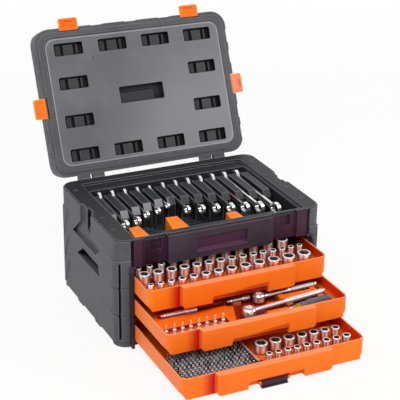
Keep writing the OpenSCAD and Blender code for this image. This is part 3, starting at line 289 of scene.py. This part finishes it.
def frameLine(middle, half, corner, u, v):  # signed distance to a rounded outline, less than 0 inside
    x = (u - middle[0]).math("ABSOLUTE") - (half[0] - corner)
    y = (v - middle[1]).math("ABSOLUTE") - (half[1] - corner)
    outside = (x.math("MAXIMUM", 0.0) ** 2.0 + y.math("MAXIMUM", 0.0) ** 2.0) ** 0.5
    return outside + x.math("MAXIMUM", y).math("MINIMUM", 0.0) - corner


latchFrame = {
    "corner": 0.005, "border": 0.0032, "inner": 0.0085,  # distances in from the plate's edge
    "soft": 0.0004, "grooveShade": (0.0016, 0.001), "line": (0.0012, 0.0006),
    "highlight": "ff9c3c", "dark": "c84200",
}


def latchZones(nodeName):  # painted highlight on the raised border and painted shade in the grooves round the sunk middle of a latch plate
    def zones(f, body):
        spans = [reachAlong(nodeName, lid[way]) for way in ("across", "up")]
        middle = [(low + high) / 2 for low, high in spans]
        half = [(high - low) / 2 for low, high in spans]
        away = frameLine(middle, half, latchFrame["corner"], *onLid(f))
        border, inner, soft = -latchFrame["border"], -latchFrame["inner"], latchFrame["soft"]
        borderHighlight = away.between(border - soft, border + soft)
        body = f.blend(borderHighlight * 0.75, body, tint(latchFrame["highlight"]))
        start, end = latchFrame["grooveShade"]
        grooveShade = away.between(border - start, border - end) * (1.0 - away.between(border - soft, border))
        body = f.blend(grooveShade * 0.85, body, tint(latchFrame["dark"]))
        # painted shade along a second line round the sunk middle
        start, end = latchFrame["line"]
        second = away.between(inner - start, inner - end) * (1.0 - away.between(inner, inner + end))
        return f.blend(second * 0.5, body, tint(latchFrame["dark"]))
    return zones


liningLook = {
    "sheenAcross": (-0.24, 0.14), "sheenUp": (0.3, 0.56), "sheen": "88888c",
    "pocketDepth": (0.0025, 0.007), "linerPocketShade": "303034",
    "beadHalfWidth": 0.2265, "beadCorner": 0.026, "bead": "a8a8ae",
    "beadOuter": (-0.0022, -0.0008), "beadInner": (-0.0045, -0.003),
    "marks": ((-0.11, 0.51), (0.125, 0.528)), "markEdge": (0.0012, 0.0022), "mark": "18181a",
}


def linerSheen(f, body):  # painted broad soft sheen, painted shade in the pockets, a painted highlight on the bead, and the two small marks left by the mould
    look = liningLook
    rightward = f.place.part(0).between(*look["sheenAcross"])
    downward = 1.0 - f.place.part(2).between(*look["sheenUp"])
    band = rightward * (0.35 + 0.65 * downward) + 0.3 * (f.noise(3.2, 3, 0.5) - 0.5)
    body = f.blend(band.between(0.1, 1.0), body, tint(look["sheen"]))
    # painted shade on the pockets' floors, deeper the further they are sunk
    front = reachAlong("lid_liner", lid["face"])[1]
    sunk = front - f.place.along(tuple(lid["face"]))
    body = f.blend(sunk.between(*look["pocketDepth"]), body, tint(look["linerPocketShade"]))
    low, high = reachAlong("lid_liner", lid["up"])
    middle, half = (0.0, (low + high) / 2), (look["beadHalfWidth"], (high - low) / 2)
    inset = frameLine(middle, half, look["beadCorner"], *onLid(f))
    # painted highlight along the rounded bead round the liner
    bead = inset.between(*look["beadInner"]) * (1.0 - inset.between(*look["beadOuter"]))
    body = f.blend(bead * 0.7, body, tint(look["bead"]))
    flat = f.add("CombineXYZ", None, {0: f.place.part(0), 1: f.place.part(2)})
    for x, z in look["marks"]:
        away = flat.vector("DISTANCE", (x, z, 0))
        body = f.blend(1.0 - away.between(*look["markEdge"]), body, tint(look["mark"]))
    return body


drawerShade = {
    "blockLeft": -0.1415, "reach": 0.034, "shade": "c80400", "outer": (-0.27, -0.26),
    "leftWall": (-0.205, -0.195), "rimBelow": 0.0015, "rimAbove": 0.001, "highlight": "ffa070",
    "rightWall": (0.2, 0.208), "rightShade": "d81c04",
}
toolShadows = {
    "shade": "7a0806", "soft": 0.0015,
    "lines": (  # from, to, half width, all across and back
        ((-0.006, -0.34), (0.02, -0.272), 0.034), ((0.0, -0.327), (0.19, -0.308), 0.0115),
        ((0.042, -0.277), (0.043, -0.276), 0.019), ((0.045, -0.277), (0.19, -0.272), 0.009),
        ((-0.02, -0.355), (0.008, -0.355), 0.008), ((-0.184, -0.262), (0.028, -0.26), 0.007),
        ((0.085, -0.341), (0.185, -0.334), 0.009),
    ),
}


def nearLine(f, start, end, half):  # 1 within half a width of a line seen from above
    sx, sy = start
    dx, dy = end[0] - sx, end[1] - sy
    long = dx * dx + dy * dy
    x, y = f.place.part(0) - sx, f.place.part(1) - sy
    run = (x * (dx / long) + y * (dy / long)).math("ADD", 0.0, clamp=True)
    aside, ahead = x - run * dx, y - run * dy
    away = (aside * aside + ahead * ahead) ** 0.5
    return 1.0 - away.between(half - toolShadows["soft"], half + toolShadows["soft"])


darkRooms = {  # painted shade where one drawer roofs the one under it
    "shade": "5a0805", "strength": 0.85, "soft": 0.0012,
    "boxes": (
        ((-0.2135, -0.245, 0.13), (0.2135, -0.19, 0.1745)),
        ((-0.2135, -0.345, 0.02), (0.2135, -0.26, 0.0555)),
        ((-0.2125, -0.452, 0.02), (-0.207, -0.26, 0.0575)),
    ),
}


def darkEnds(f, body):
    mask = None
    for (left, front, bottom), (right, rear, top) in darkRooms["boxes"]:
        room = f.inside((left, None, bottom), (right, None, top), darkRooms["soft"])
        room = room * f.place.part(1).between(front, rear)  # darker towards the rear
        mask = room if mask is None else mask.math("MAXIMUM", room)
    return f.blend(mask * darkRooms["strength"], body, tint(darkRooms["shade"]))


fingerRecess = {
    "across": (-0.0735, 0.0635), "fade": (-0.05, 0.03), "shade": "c41a06",
    "wall": (0.01, 0.0135),  # behind the drawer's front
    "scoopShade": 0.009, "scoopFrom": 0.004, "scoopDepth": 0.012, "strength": 0.65, "soft": 0.001,
    "drawers": {"upper_drawer": 0.0155, "middle_drawer": 0.0145},  # heights of the recesses
}


def recessShade(f, body):  # painted shade on the sunk wall over each finger recess
    low, high = fingerRecess["across"]
    across = f.inside((low, None, None), (high, None, None), 0.0008)
    across = across * (0.3 + 0.7 * f.place.part(0).between(*fingerRecess["fade"]))
    mask = None
    near, far = fingerRecess["wall"]
    for nodeName, height in fingerRecess["drawers"].items():
        _, front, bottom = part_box(nodeName)[0]
        behind = f.inside((None, front + near, bottom), (None, front + far, bottom + height), 0.0008)
        mask = behind if mask is None else mask + behind
    body = f.blend(mask * across, body, tint(fingerRecess["shade"]))
    scoopShade = None  # painted shade of the scooped edge over the recess, higher towards its right end
    rise = f.place.part(0).between(low, high) * fingerRecess["scoopShade"]
    soft = fingerRecess["soft"]
    for nodeName, height in fingerRecess["drawers"].items():
        _, front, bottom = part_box(nodeName)[0]
        start = (None, None, bottom + fingerRecess["scoopFrom"])
        face = f.inside(start, (None, front + fingerRecess["scoopDepth"], None), soft)
        under = 1.0 - (f.place.part(2) - rise).between(bottom + height - soft, bottom + height)
        scoopShade = face * under if scoopShade is None else scoopShade + face * under
    return f.blend(scoopShade * across * fingerRecess["strength"], body, tint(fingerRecess["shade"]))


def drawerZones(f, body):
    # painted shade on the front wall left of the middle block
    left = drawerShade["blockLeft"]
    beside = f.place.part(0).between(left - drawerShade["reach"], left - 0.002)
    beside = beside * (1.0 - f.place.part(0).between(left - 0.0005, left + 0.0005))
    ahead = (0.0 - f.facing.part(1)).between(0.8, 0.95)
    outer = 1.0 - f.place.part(1).between(*drawerShade["outer"])
    # painted highlight on the drawers' left faces and top rims
    leftFace = (0.0 - f.facing.part(0)).between(0.5, 0.9)
    leftFace = leftFace * (1.0 - f.place.part(0).between(*drawerShade["leftWall"]))
    rims = None
    for nodeName in ("upper_drawer", "middle_drawer", "lower_drawer"):
        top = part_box(nodeName)[1][2]
        span = (top - drawerShade["rimBelow"], top + drawerShade["rimAbove"])
        rim = f.inside((None, None, span[0]), (None, None, span[1]), 0.0005)
        rims = rim if rims is None else rims + rim
    highlight = (leftFace * 0.12).math("MAXIMUM", rims * f.facing.part(2).between(0.5, 0.9) * 0.7)
    body = f.blend(highlight, body, tint(drawerShade["highlight"]))
    body = recessShade(f, f.blend(beside * ahead * outer, body, tint(drawerShade["shade"])))
    # painted shade on the inner faces of the right walls
    rightWall = (0.0 - f.facing.part(0)).between(0.8, 0.95)
    rightWall = rightWall * f.place.part(0).between(*drawerShade["rightWall"])
    body = f.blend(rightWall * 0.85, body, tint(drawerShade["rightShade"]))
    return darkEnds(f, body)


def deckZones(f, body):
    # painted shade round and under the tools lying on the deck
    flat = f.facing.part(2).between(0.8, 0.95)
    mask = None
    for line in toolShadows["lines"]:
        near = nearLine(f, *line)
        mask = near if mask is None else mask.math("MAXIMUM", near)
    body = f.blend(mask * flat * 0.92, body, tint(toolShadows["shade"]))
    return drawerZones(f, body)


panelShade = {
    "sunk": (-0.1885, -0.1835), "sunkShadeAndReflection": "431f35",
    "pocketLow": (-0.067, None, 0.2), "pocketHigh": (0.057, None, 0.24), "pocketShadeAndReflection": "4a2440",
    "left": (-0.192, -0.152), "leftShade": "2c0a1c", "rightFrom": 0.128, "rightTint": "4c4850",
    "legTop": 0.188, "legShade": "2c2029",
}


def frontZones(f, body):  # painted shade and reflection on the sunk parts and the pocket, painted shade in the left bay and on the legs; the right block is greyer
    look = panelShade
    sunk = f.place.part(1).between(*look["sunk"])
    body = f.blend(sunk * 0.9, body, tint(look["sunkShadeAndReflection"]))
    pocket = f.inside(look["pocketLow"], look["pocketHigh"], 0.001)
    body = f.blend(pocket * 0.8, body, tint(look["pocketShadeAndReflection"]))
    left = f.inside((look["left"][0], None, None), (look["left"][1], None, None), 0.004)
    body = f.blend(left * sunk * 0.85, body, tint(look["leftShade"]))
    right = f.inside((look["rightFrom"], None, None), (None, None, None), 0.002)
    body = f.blend(right * (1.0 - sunk), body, tint(look["rightTint"]))
    legs = f.inside((None, None, None), (None, None, look["legTop"]), 0.001)
    return f.blend(legs, body, tint(look["legShade"]))


latchSlot = {"low": (-0.2455, -0.009, 0.2), "high": (-0.2, 0.019, 0.2545), "soft": 0.0006, "shade": "08080a"}


def sideSlots(f, body):  # painted shade in the deep slots for the hooks of the side latches
    low, high, soft = latchSlot["low"], latchSlot["high"], latchSlot["soft"]
    left = f.inside(low, high, soft)
    right = f.inside((-high[0], *low[1:]), (-low[0], *high[1:]), soft)
    return f.blend((left + right) * 0.92, body, tint(latchSlot["shade"]))


rackShade = {"leftRibs": (-0.06, -0.04), "slope": "8c8c90", "rightTops": (-0.06, 0.16), "top": "404044"}


def rackSlopes(f, body):  # sloped ends of the left ribs and tops of the right ones catch the light
    slope = (0.0 - f.facing.part(1)).between(0.3, 0.6) * f.facing.part(2).between(0.1, 0.3)
    leftRibs = 1.0 - f.place.part(0).between(*rackShade["leftRibs"])
    body = f.blend(slope * (0.12 + 0.83 * leftRibs), body, tint(rackShade["slope"]))
    right = f.place.part(0).between(*rackShade["rightTops"]) * f.facing.part(2).between(0.8, 0.95)
    return f.blend(right * 0.5, body, tint(rackShade["top"]))


def platedChrome(name, look, extra=None):
    f = Finish(name)
    eased = f.rounded(look["edge"])
    rim = f.edges(eased)
    haze = f.noise(look["hazeScale"], 5, 0.65)
    polish = f.noise(40, 4, 0.6, f.stretched(12.0, 12.0, 1.0))
    hairline = f.noise(260, 3, 0.7, f.stretched(1.0, 1.0, 14.0))
    smudge = haze.between(0.45, 0.72)
    body = f.blend(smudge * 0.5, tint(look["light"]), tint(look["dark"]))
    # painted reflection of a bright studio, as light and dark streaks by which way the surface faces
    across = f.facing.along(look["streakWay"]) * 0.5 + 0.5 + 0.05 * (polish - 0.5)
    shade = f.add("ValToRGB", {"stops": look["reflectionStreaks"]}, {0: across})
    if look["trayReflectionAmount"]:  # upright walls mirror the orange trays round them
        upright = 1.0 - f.facing.part(2).math("ABSOLUTE").between(0.3, 0.6)
        warmReflection = f.add("ValToRGB", {"stops": trayReflection}, {0: across})
        shade = f.blend(upright * look["trayReflectionAmount"], shade, warmReflection)
    body = f.blend(look["contrast"], body, shade, "MULTIPLY")
    if look["trayReflectionAmount"]:  # and close to the deck they carry a painted reflection of it
        low = f.hollow(look["deckReach"], False).between(0.08, 0.5)
        body = f.blend(low * upright * look["trayReflectionAmount"] * 0.85, body, tint(look["deckReflection"]))
    # painted shade deep in the mouths of the sockets, broken by light flecks
    depth = f.hollow(look["reach"]).between(0.4, 0.58)
    fleck = f.noise(look["fleckScale"], 2, 0.6).between(0.5, 0.6)
    mouth = f.blend(fleck * 0.6, tint(look["hollowShade"]), tint(look["fleck"]))
    body = f.blend(depth * 0.96, body, mouth)
    rim = rim * f.facing.part(2).between(0.05, 0.4)  # painted highlight, only where an edge looks up
    body = f.blend(rim * 0.9, body, tint(look["rim"]))
    if extra:
        body = extra(f, body)
    return f.set(
        Base_Color=body,
        Metallic=look["metal"],
        Roughness=look["rough"] + 0.10 * smudge + 0.05 * polish,
        Normal=f.bump(hairline, look["bump"], 0.0002, eased),
    )


def grey(level):
    return (level, level, level, 1.0)


studioReflection = (
    (0.0, grey(0.10)), (0.16, grey(0.22)), (0.24, grey(1.0)), (0.34, grey(0.9)), (0.40, grey(0.18)),
    (0.47, grey(1.0)), (0.55, grey(1.0)), (0.66, grey(0.35)), (0.76, grey(0.95)), (0.86, grey(0.2)),
    (1.0, grey(0.08)),
)
trayReflection = (
    (0.0, (0.05, 0.005, 0.004, 1)), (0.10, (0.5, 0.05, 0.02, 1)), (0.18, (1, 0.92, 0.88, 1)),
    (0.33, (1, 0.88, 0.82, 1)), (0.38, (0.12, 0.012, 0.006, 1)), (0.44, (1, 0.14, 0.03, 1)),
    (0.52, (1, 0.22, 0.05, 1)), (0.60, (1, 0.95, 0.9, 1)), (0.72, (1, 0.85, 0.75, 1)),
    (0.80, (1, 0.12, 0.02, 1)), (0.90, (0.1, 0.01, 0.006, 1)), (1.0, (0.05, 0.004, 0.003, 1)),
)
chromeLook = {
    "light": "ffffff", "dark": "dcdce0", "rim": "ffffff", "edge": 0.0006, "hazeScale": 55.0,
    "rough": 0.08, "bump": 0.08, "metal": 0.2,
    "reflectionStreaks": studioReflection, "streakWay": (0.904, -0.427, 0.0), "contrast": 0.9,
    "trayReflectionAmount": 0.9, "deckReach": 0.016, "deckReflection": "e0400c",
    "reach": 0.026, "hollowShade": "141213", "fleck": "9c9896", "fleckScale": 700,
}
wrenchLook = dict(chromeLook, contrast=0.55, metal=0.8, trayReflectionAmount=0.0)
toolLook = dict(chromeLook, trayReflectionAmount=0.35, contrast=0.6, metal=0.75)
bitLook = dict(
    chromeLook, trayReflectionAmount=0.5, light="f4f4f6", dark="b4b4ba", rough=0.2, edge=0.0003, reach=0.004,
)


scatterLook = {
    "cell": (0.0056, 0.0058, 10.0), "dark": "141216", "light": "a8a6aa", "lit": "ffffff",
    "fleck": "1c191c", "edge": 0.0003,
}


def scatteredSteel(name, look):  # rows of small bits, each a little different
    f = Finish(name)
    cell = f.add("VectorMath", {"operation": "SNAP"}, {0: f.place, 1: look["cell"]})
    chance = f.add("TexWhiteNoise", {"noise_dimensions": "3D"}, {"Vector": cell}, out="Value")
    upward = f.facing.part(2).between(0.3, 0.8)
    eased = f.rounded(look["edge"])
    rim = f.edges(eased)
    body = f.blend(chance, tint(look["dark"]), tint(look["light"]))
    body = f.blend(upward * (0.35 + 0.65 * chance.between(0.2, 0.5)), body, tint(look["lit"]))
    fleck = f.noise(900, 3, 0.7).between(0.52, 0.62)
    body = f.blend(fleck * 0.6, body, tint(look["fleck"]))
    body = f.blend(rim * 0.8, body, tint(look["lit"]))
    return f.set(
        Base_Color=body,
        Metallic=0.35,
        Roughness=0.2 + 0.2 * chance,
        Normal=f.bump(f.noise(1500, 2, 0.5), 0.2, 0.0001, eased),
    )


railLook = {
    "pitch": 0.0058, "dark": "a8a6aa", "light": "d4d4d8", "mark": "241f24", "lit": "ffffff",
    "edge": 0.0004, "line": (0.0005, 0.0009),
}


def markedRail(name, look):  # bright rail of the bit case, with a mark beside each row
    f = Finish(name)
    low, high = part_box("bit_case_rail")
    eased = f.rounded(look["edge"])
    rim = f.edges(eased)
    along = (f.place.part(1) - low[1]) / look["pitch"]
    step = along.math("FRACT")
    mark = step.between(0.5, 0.6) * (1.0 - step.between(0.85, 0.95))
    middle = (f.place.part(0) - (low[0] + high[0]) / 2).math("ABSOLUTE")
    line = 1.0 - middle.between(*look["line"])
    haze = f.noise(140, 4, 0.6)
    body = f.blend(haze.between(0.35, 0.65), tint(look["dark"]), tint(look["light"]))
    body = f.blend(mark * (1.0 - line) * 0.8, body, tint(look["mark"]))
    body = f.blend((line + rim * 0.7).math("MINIMUM", 1.0), body, tint(look["lit"]))
    return f.set(
        Base_Color=body,
        Metallic=0.4,
        Roughness=0.22 + 0.15 * haze,
        Normal=f.bump(haze, 0.15, 0.0002, eased),
    )


blackSteelLook = {"dark": "0b0d12", "light": "1c2028", "wornAndLit": "8b93a8", "rough": 0.18, "edge": 0.0008}


def blackenedSteel(name, look):
    f = Finish(name)
    eased = f.rounded(look["edge"])
    rim = f.edges(eased)
    haze = f.noise(70, 5, 0.6)
    grain = f.noise(1300, 2, 0.5)
    body = f.blend(haze.between(0.35, 0.7), tint(look["dark"]), tint(look["light"]))
    # painted glints along the edges, with their wear
    colour = f.blend(rim * 0.8, body, tint(look["wornAndLit"]))
    return f.set(
        Base_Color=colour,
        Metallic=0.7,
        Roughness=look["rough"] + 0.14 * haze,
        Normal=f.bump(grain, 0.2, 0.0002, eased),
    )


gripLook = {"dark": "3a343a", "light": "4c464c", "lit": "6a6068", "dust": "8a8a90", "edge": 0.0008}


def softGrip(name, look):
    f = Finish(name)
    eased = f.rounded(look["edge"])
    cloud = f.noise(22, 4, 0.6)
    grain = f.noise(1500, 2, 0.6)
    dust = f.noise(90, 5, 0.7).between(0.5, 0.75)
    body = f.blend(cloud.between(0.3, 0.7), tint(look["dark"]), tint(look["light"]))
    body = f.blend(f.facing.part(2).between(0.3, 0.9) * 0.5, body, tint(look["lit"]))
    colour = f.blend(dust * 0.3, body, tint(look["dust"]))
    return f.set(
        Base_Color=colour,
        Roughness=0.55 + 0.12 * dust,
        Normal=f.bump(grain, 0.4, 0.0003, eased),
        Sheen_Weight=0.1,
        Sheen_Roughness=0.5,
    )


amberLook = {"bareLength": 0.008, "bare": "d8d8dc", "dark": "6f6410", "light": "b09c22", "edge": 0.0006}


def amberNeck(name, look):  # yellowish collar of the spinner handle, with its bare drive end
    f = Finish(name)
    eased = f.rounded(look["edge"])
    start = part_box("spinner_shaft")[0][0] + look["bareLength"]
    collar = f.inside((start, None, None), (None, None, None), 0.0006)
    cloud = f.noise(120, 4, 0.6)
    amber = f.blend(cloud.between(0.35, 0.65), tint(look["dark"]), tint(look["light"]))
    body = f.blend(collar, tint(look["bare"]), amber)
    return f.set(
        Base_Color=body,
        Metallic=1.0 - collar,
        Roughness=0.16 + 0.1 * cloud,
        Normal=f.bump(cloud, 0.1, 0.0002, eased),
    )


finishes = {  # by the record's slots; every orange piece has a finish of its own below
    "shell": mouldedPlastic("shellPlastic", shellLook),
    "tray": mouldedPlastic("trayPlastic", trayLook),
    "front": mouldedPlastic("frontPlastic", frontLook, frontZones),
    "liner": mouldedPlastic("linerPlastic", linerLook, linerSheen),
    "chrome": platedChrome("chromePlate", chromeLook),
    "bit_steel": platedChrome("bitSteel", bitLook),
    "black_steel": blackenedSteel("blackenedSteel", blackSteelLook),
    "black_plastic": mouldedPlastic("blackPlastic", blackLook),
    "grip": softGrip("softGrip", gripLook),
}
ownFinish = {
    "wrench_rack": mouldedPlastic("rackPlastic", trayLook, rackSlopes),
    "key_holders": mouldedPlastic("holderPlastic", holderLook),
    "drawer_catch": mouldedPlastic("catchPlastic", catchLook),
    "upper_drawer": mouldedPlastic("drawerPlastic", orangeLook, drawerZones),
    "middle_deck": mouldedPlastic("toolDeckPlastic", deckLook, deckZones),
    "upper_deck": mouldedPlastic("socketDeckPlastic", deckLook, darkEnds),
    "side_panel_left": mouldedPlastic("sidePlastic", shellLook, sideSlots),
    "driver_bits": scatteredSteel("bitRows", scatterLook),
    "large_ratchet": platedChrome("ratchetPlate", toolLook),
    "spinner_shaft": amberNeck("amberNeck", amberLook),
    "bit_case_rail": markedRail("markedRail", railLook),
}
latchPlastics = {
    "front_latch_left": ("frontLeftLatchPlastic", latchLook),
    "front_latch_right": ("frontRightLatchPlastic", latchLook),
    "side_latch_left": ("sideLeftLatchPlastic", latchLook),
    "side_latch_right": ("sheenLatchPlastic", sheenLatchLook),
}
for nodeName, (plasticName, look) in latchPlastics.items():
    ownFinish[nodeName] = mouldedPlastic(plasticName, look, latchZones(nodeName))
wrenchShank = {
    "count": 12, "ring": 0.026, "jaw": 0.03, "soft": 0.004, "shade": "3c3a3e", "amount": 0.8,
    "brightFrom": 0.12, "brightAmount": 0.25,  # the wrenches at the right are lit more evenly
}


def shankShade(nodeName):  # shanks lie in the shade of the ribs, ends stand up in the light
    def zones(f, body):
        low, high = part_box(nodeName)
        run = f.place.part(1)
        start, end = low[1] + wrenchShank["ring"], high[1] - wrenchShank["jaw"]
        soft = wrenchShank["soft"]
        shank = run.between(start - soft, start + soft) * (1.0 - run.between(end - soft, end))
        bright = wrenchShank["brightAmount"] if low[0] > wrenchShank["brightFrom"] else 1.0
        return f.blend(shank * wrenchShank["amount"] * bright, body, tint(wrenchShank["shade"]))
    return zones


for number in range(1, wrenchShank["count"] + 1):
    wrenchName = "wrench_%02d" % number
    ownFinish[wrenchName] = platedChrome("wrenchPlate%02d" % number, wrenchLook, shankShade(wrenchName))
slotOf = {s["node"]: s["material_slot"] for s in frame["record"]["subparts"]}


def paint(obj, material):
    obj.data.materials.clear()
    obj.data.materials.append(material)


sharedFinish = {
    "large_ratchet": ("small_ratchet", "extension_bars", "square_adapter", "latch_pins"),
    "side_panel_left": ("side_panel_right",),
    "upper_drawer": ("middle_drawer", "lower_drawer"),
    "upper_deck": ("lower_deck",),
}
for first, others in sharedFinish.items():
    ownFinish.update({nodeName: ownFinish[first] for nodeName in others})
for nodeName, obj in cadNodes.items():
    paint(obj, ownFinish[nodeName] if nodeName in ownFinish else finishes[slotOf[nodeName]])
print("finishes:", len(finishes) + len(ownFinish))

# the latch plates' moulded corners are rounder than their plain shape
softCorner = {"weld": 0.00001, "width": 0.0028, "segments": 3, "angle": 40}
for nodeName in latchPlastics:
    weld = cadNodes[nodeName].modifiers.new("weld", "WELD")
    weld.merge_threshold = softCorner["weld"]
    bevel = cadNodes[nodeName].modifiers.new("softCorner", "BEVEL")
    bevel.width, bevel.segments = softCorner["width"], softCorner["segments"]
    bevel.limit_method, bevel.angle_limit = "ANGLE", math.radians(softCorner["angle"])
print("soft corners:", len(latchPlastics))


# floor, backdrop light and lamps
studio = {
    "floorHalf": 14.0,
    "floorTints": ("f4f4f4", "f7f7f7"),
    "showWhite": 0.86,       # how much of the floor's shade is plain white to the camera
    "allWhite": (1.2, 3.2),  # and all of it is, this far out
    "fill": 0.5,             # light from all round
    "aim": (0.0, -0.1, 0.25),
    "lamps": (
        ("key", (-1.4, -1.9, 2.9), 1.8, 64.0),
        ("side", (2.6, -1.2, 1.6), 1.6, 28.0),
        ("rear", (0.4, 2.6, 2.4), 1.6, 16.0),
    ),
}


def lookedAt(f):
    path = {name: f.add("LightPath", out=name) for name in (
        "Is Camera Ray", "Is Glossy Ray", "Is Transmission Ray")}
    total = path["Is Camera Ray"] + path["Is Glossy Ray"]
    return total.math("ADD", path["Is Transmission Ray"], clamp=True)


def makeFloor(spec):
    half = spec["floorHalf"]
    mesh = bpy.data.meshes.new("floor")
    corners = [(-half, -half, 0), (half, -half, 0), (half, half, 0), (-half, half, 0)]
    mesh.from_pydata(corners, [], [(0, 1, 2, 3)])
    floor = bpy.data.objects.new("floor", mesh)
    bpy.context.scene.collection.objects.link(floor)
    f = Finish("floorPaint")
    plain, mottle = (tint(code) for code in spec["floorTints"])
    mottled = f.blend(f.noise(3, 3).between(0.3, 0.7), plain, mottle)
    f.set(Base_Color=mottled, Roughness=0.9, Specular_IOR_Level=0.1)
    glow = f.add("Emission", None, {"Color": (1, 1, 1, 1), "Strength": 1.0})
    away = f.place.vector("LENGTH").between(*spec["allWhite"])
    seen = lookedAt(f) * (spec["showWhite"] + (1.0 - spec["showWhite"]) * away)
    both = f.add("MixShader", None, {0: seen, 1: Wire(f, f.shader.outputs[0]), 2: glow})
    f.feed(f.tree.nodes["Material Output"], {"Surface": both})
    paint(floor, f.material)


def makeWorld(spec):
    world = bpy.data.worlds.new("studio")
    bpy.context.scene.world = world
    world.use_nodes = True
    f = Finish.__new__(Finish)
    f.tree = world.node_tree
    fill = f.add("Background", None, {"Color": (1.0, 1.0, 1.0, 1), "Strength": spec["fill"]})
    white = f.add("Background", None, {"Color": (1, 1, 1, 1), "Strength": 1.0})
    both = f.add("MixShader", None, {0: lookedAt(f), 1: fill, 2: white})
    f.feed(f.tree.nodes["World Output"], {"Surface": both})


def makeLamp(aim, name, place, size, power):
    data = bpy.data.lights.new(name, "AREA")
    data.shape = "SQUARE"
    data.size = size
    data.energy = power
    lamp = bpy.data.objects.new(name, data)
    lamp.rotation_euler = (Vector(aim) - Vector(place)).to_track_quat("-Z", "Y").to_euler()
    lamp.location = place
    bpy.context.scene.collection.objects.link(lamp)


makeFloor(studio)
makeWorld(studio)
for lampSpec in studio["lamps"]:
    makeLamp(studio["aim"], *lampSpec)
bpy.context.scene.view_settings.view_transform = "Standard"
print("studio: floor, world and", len(studio["lamps"]), "lamps")
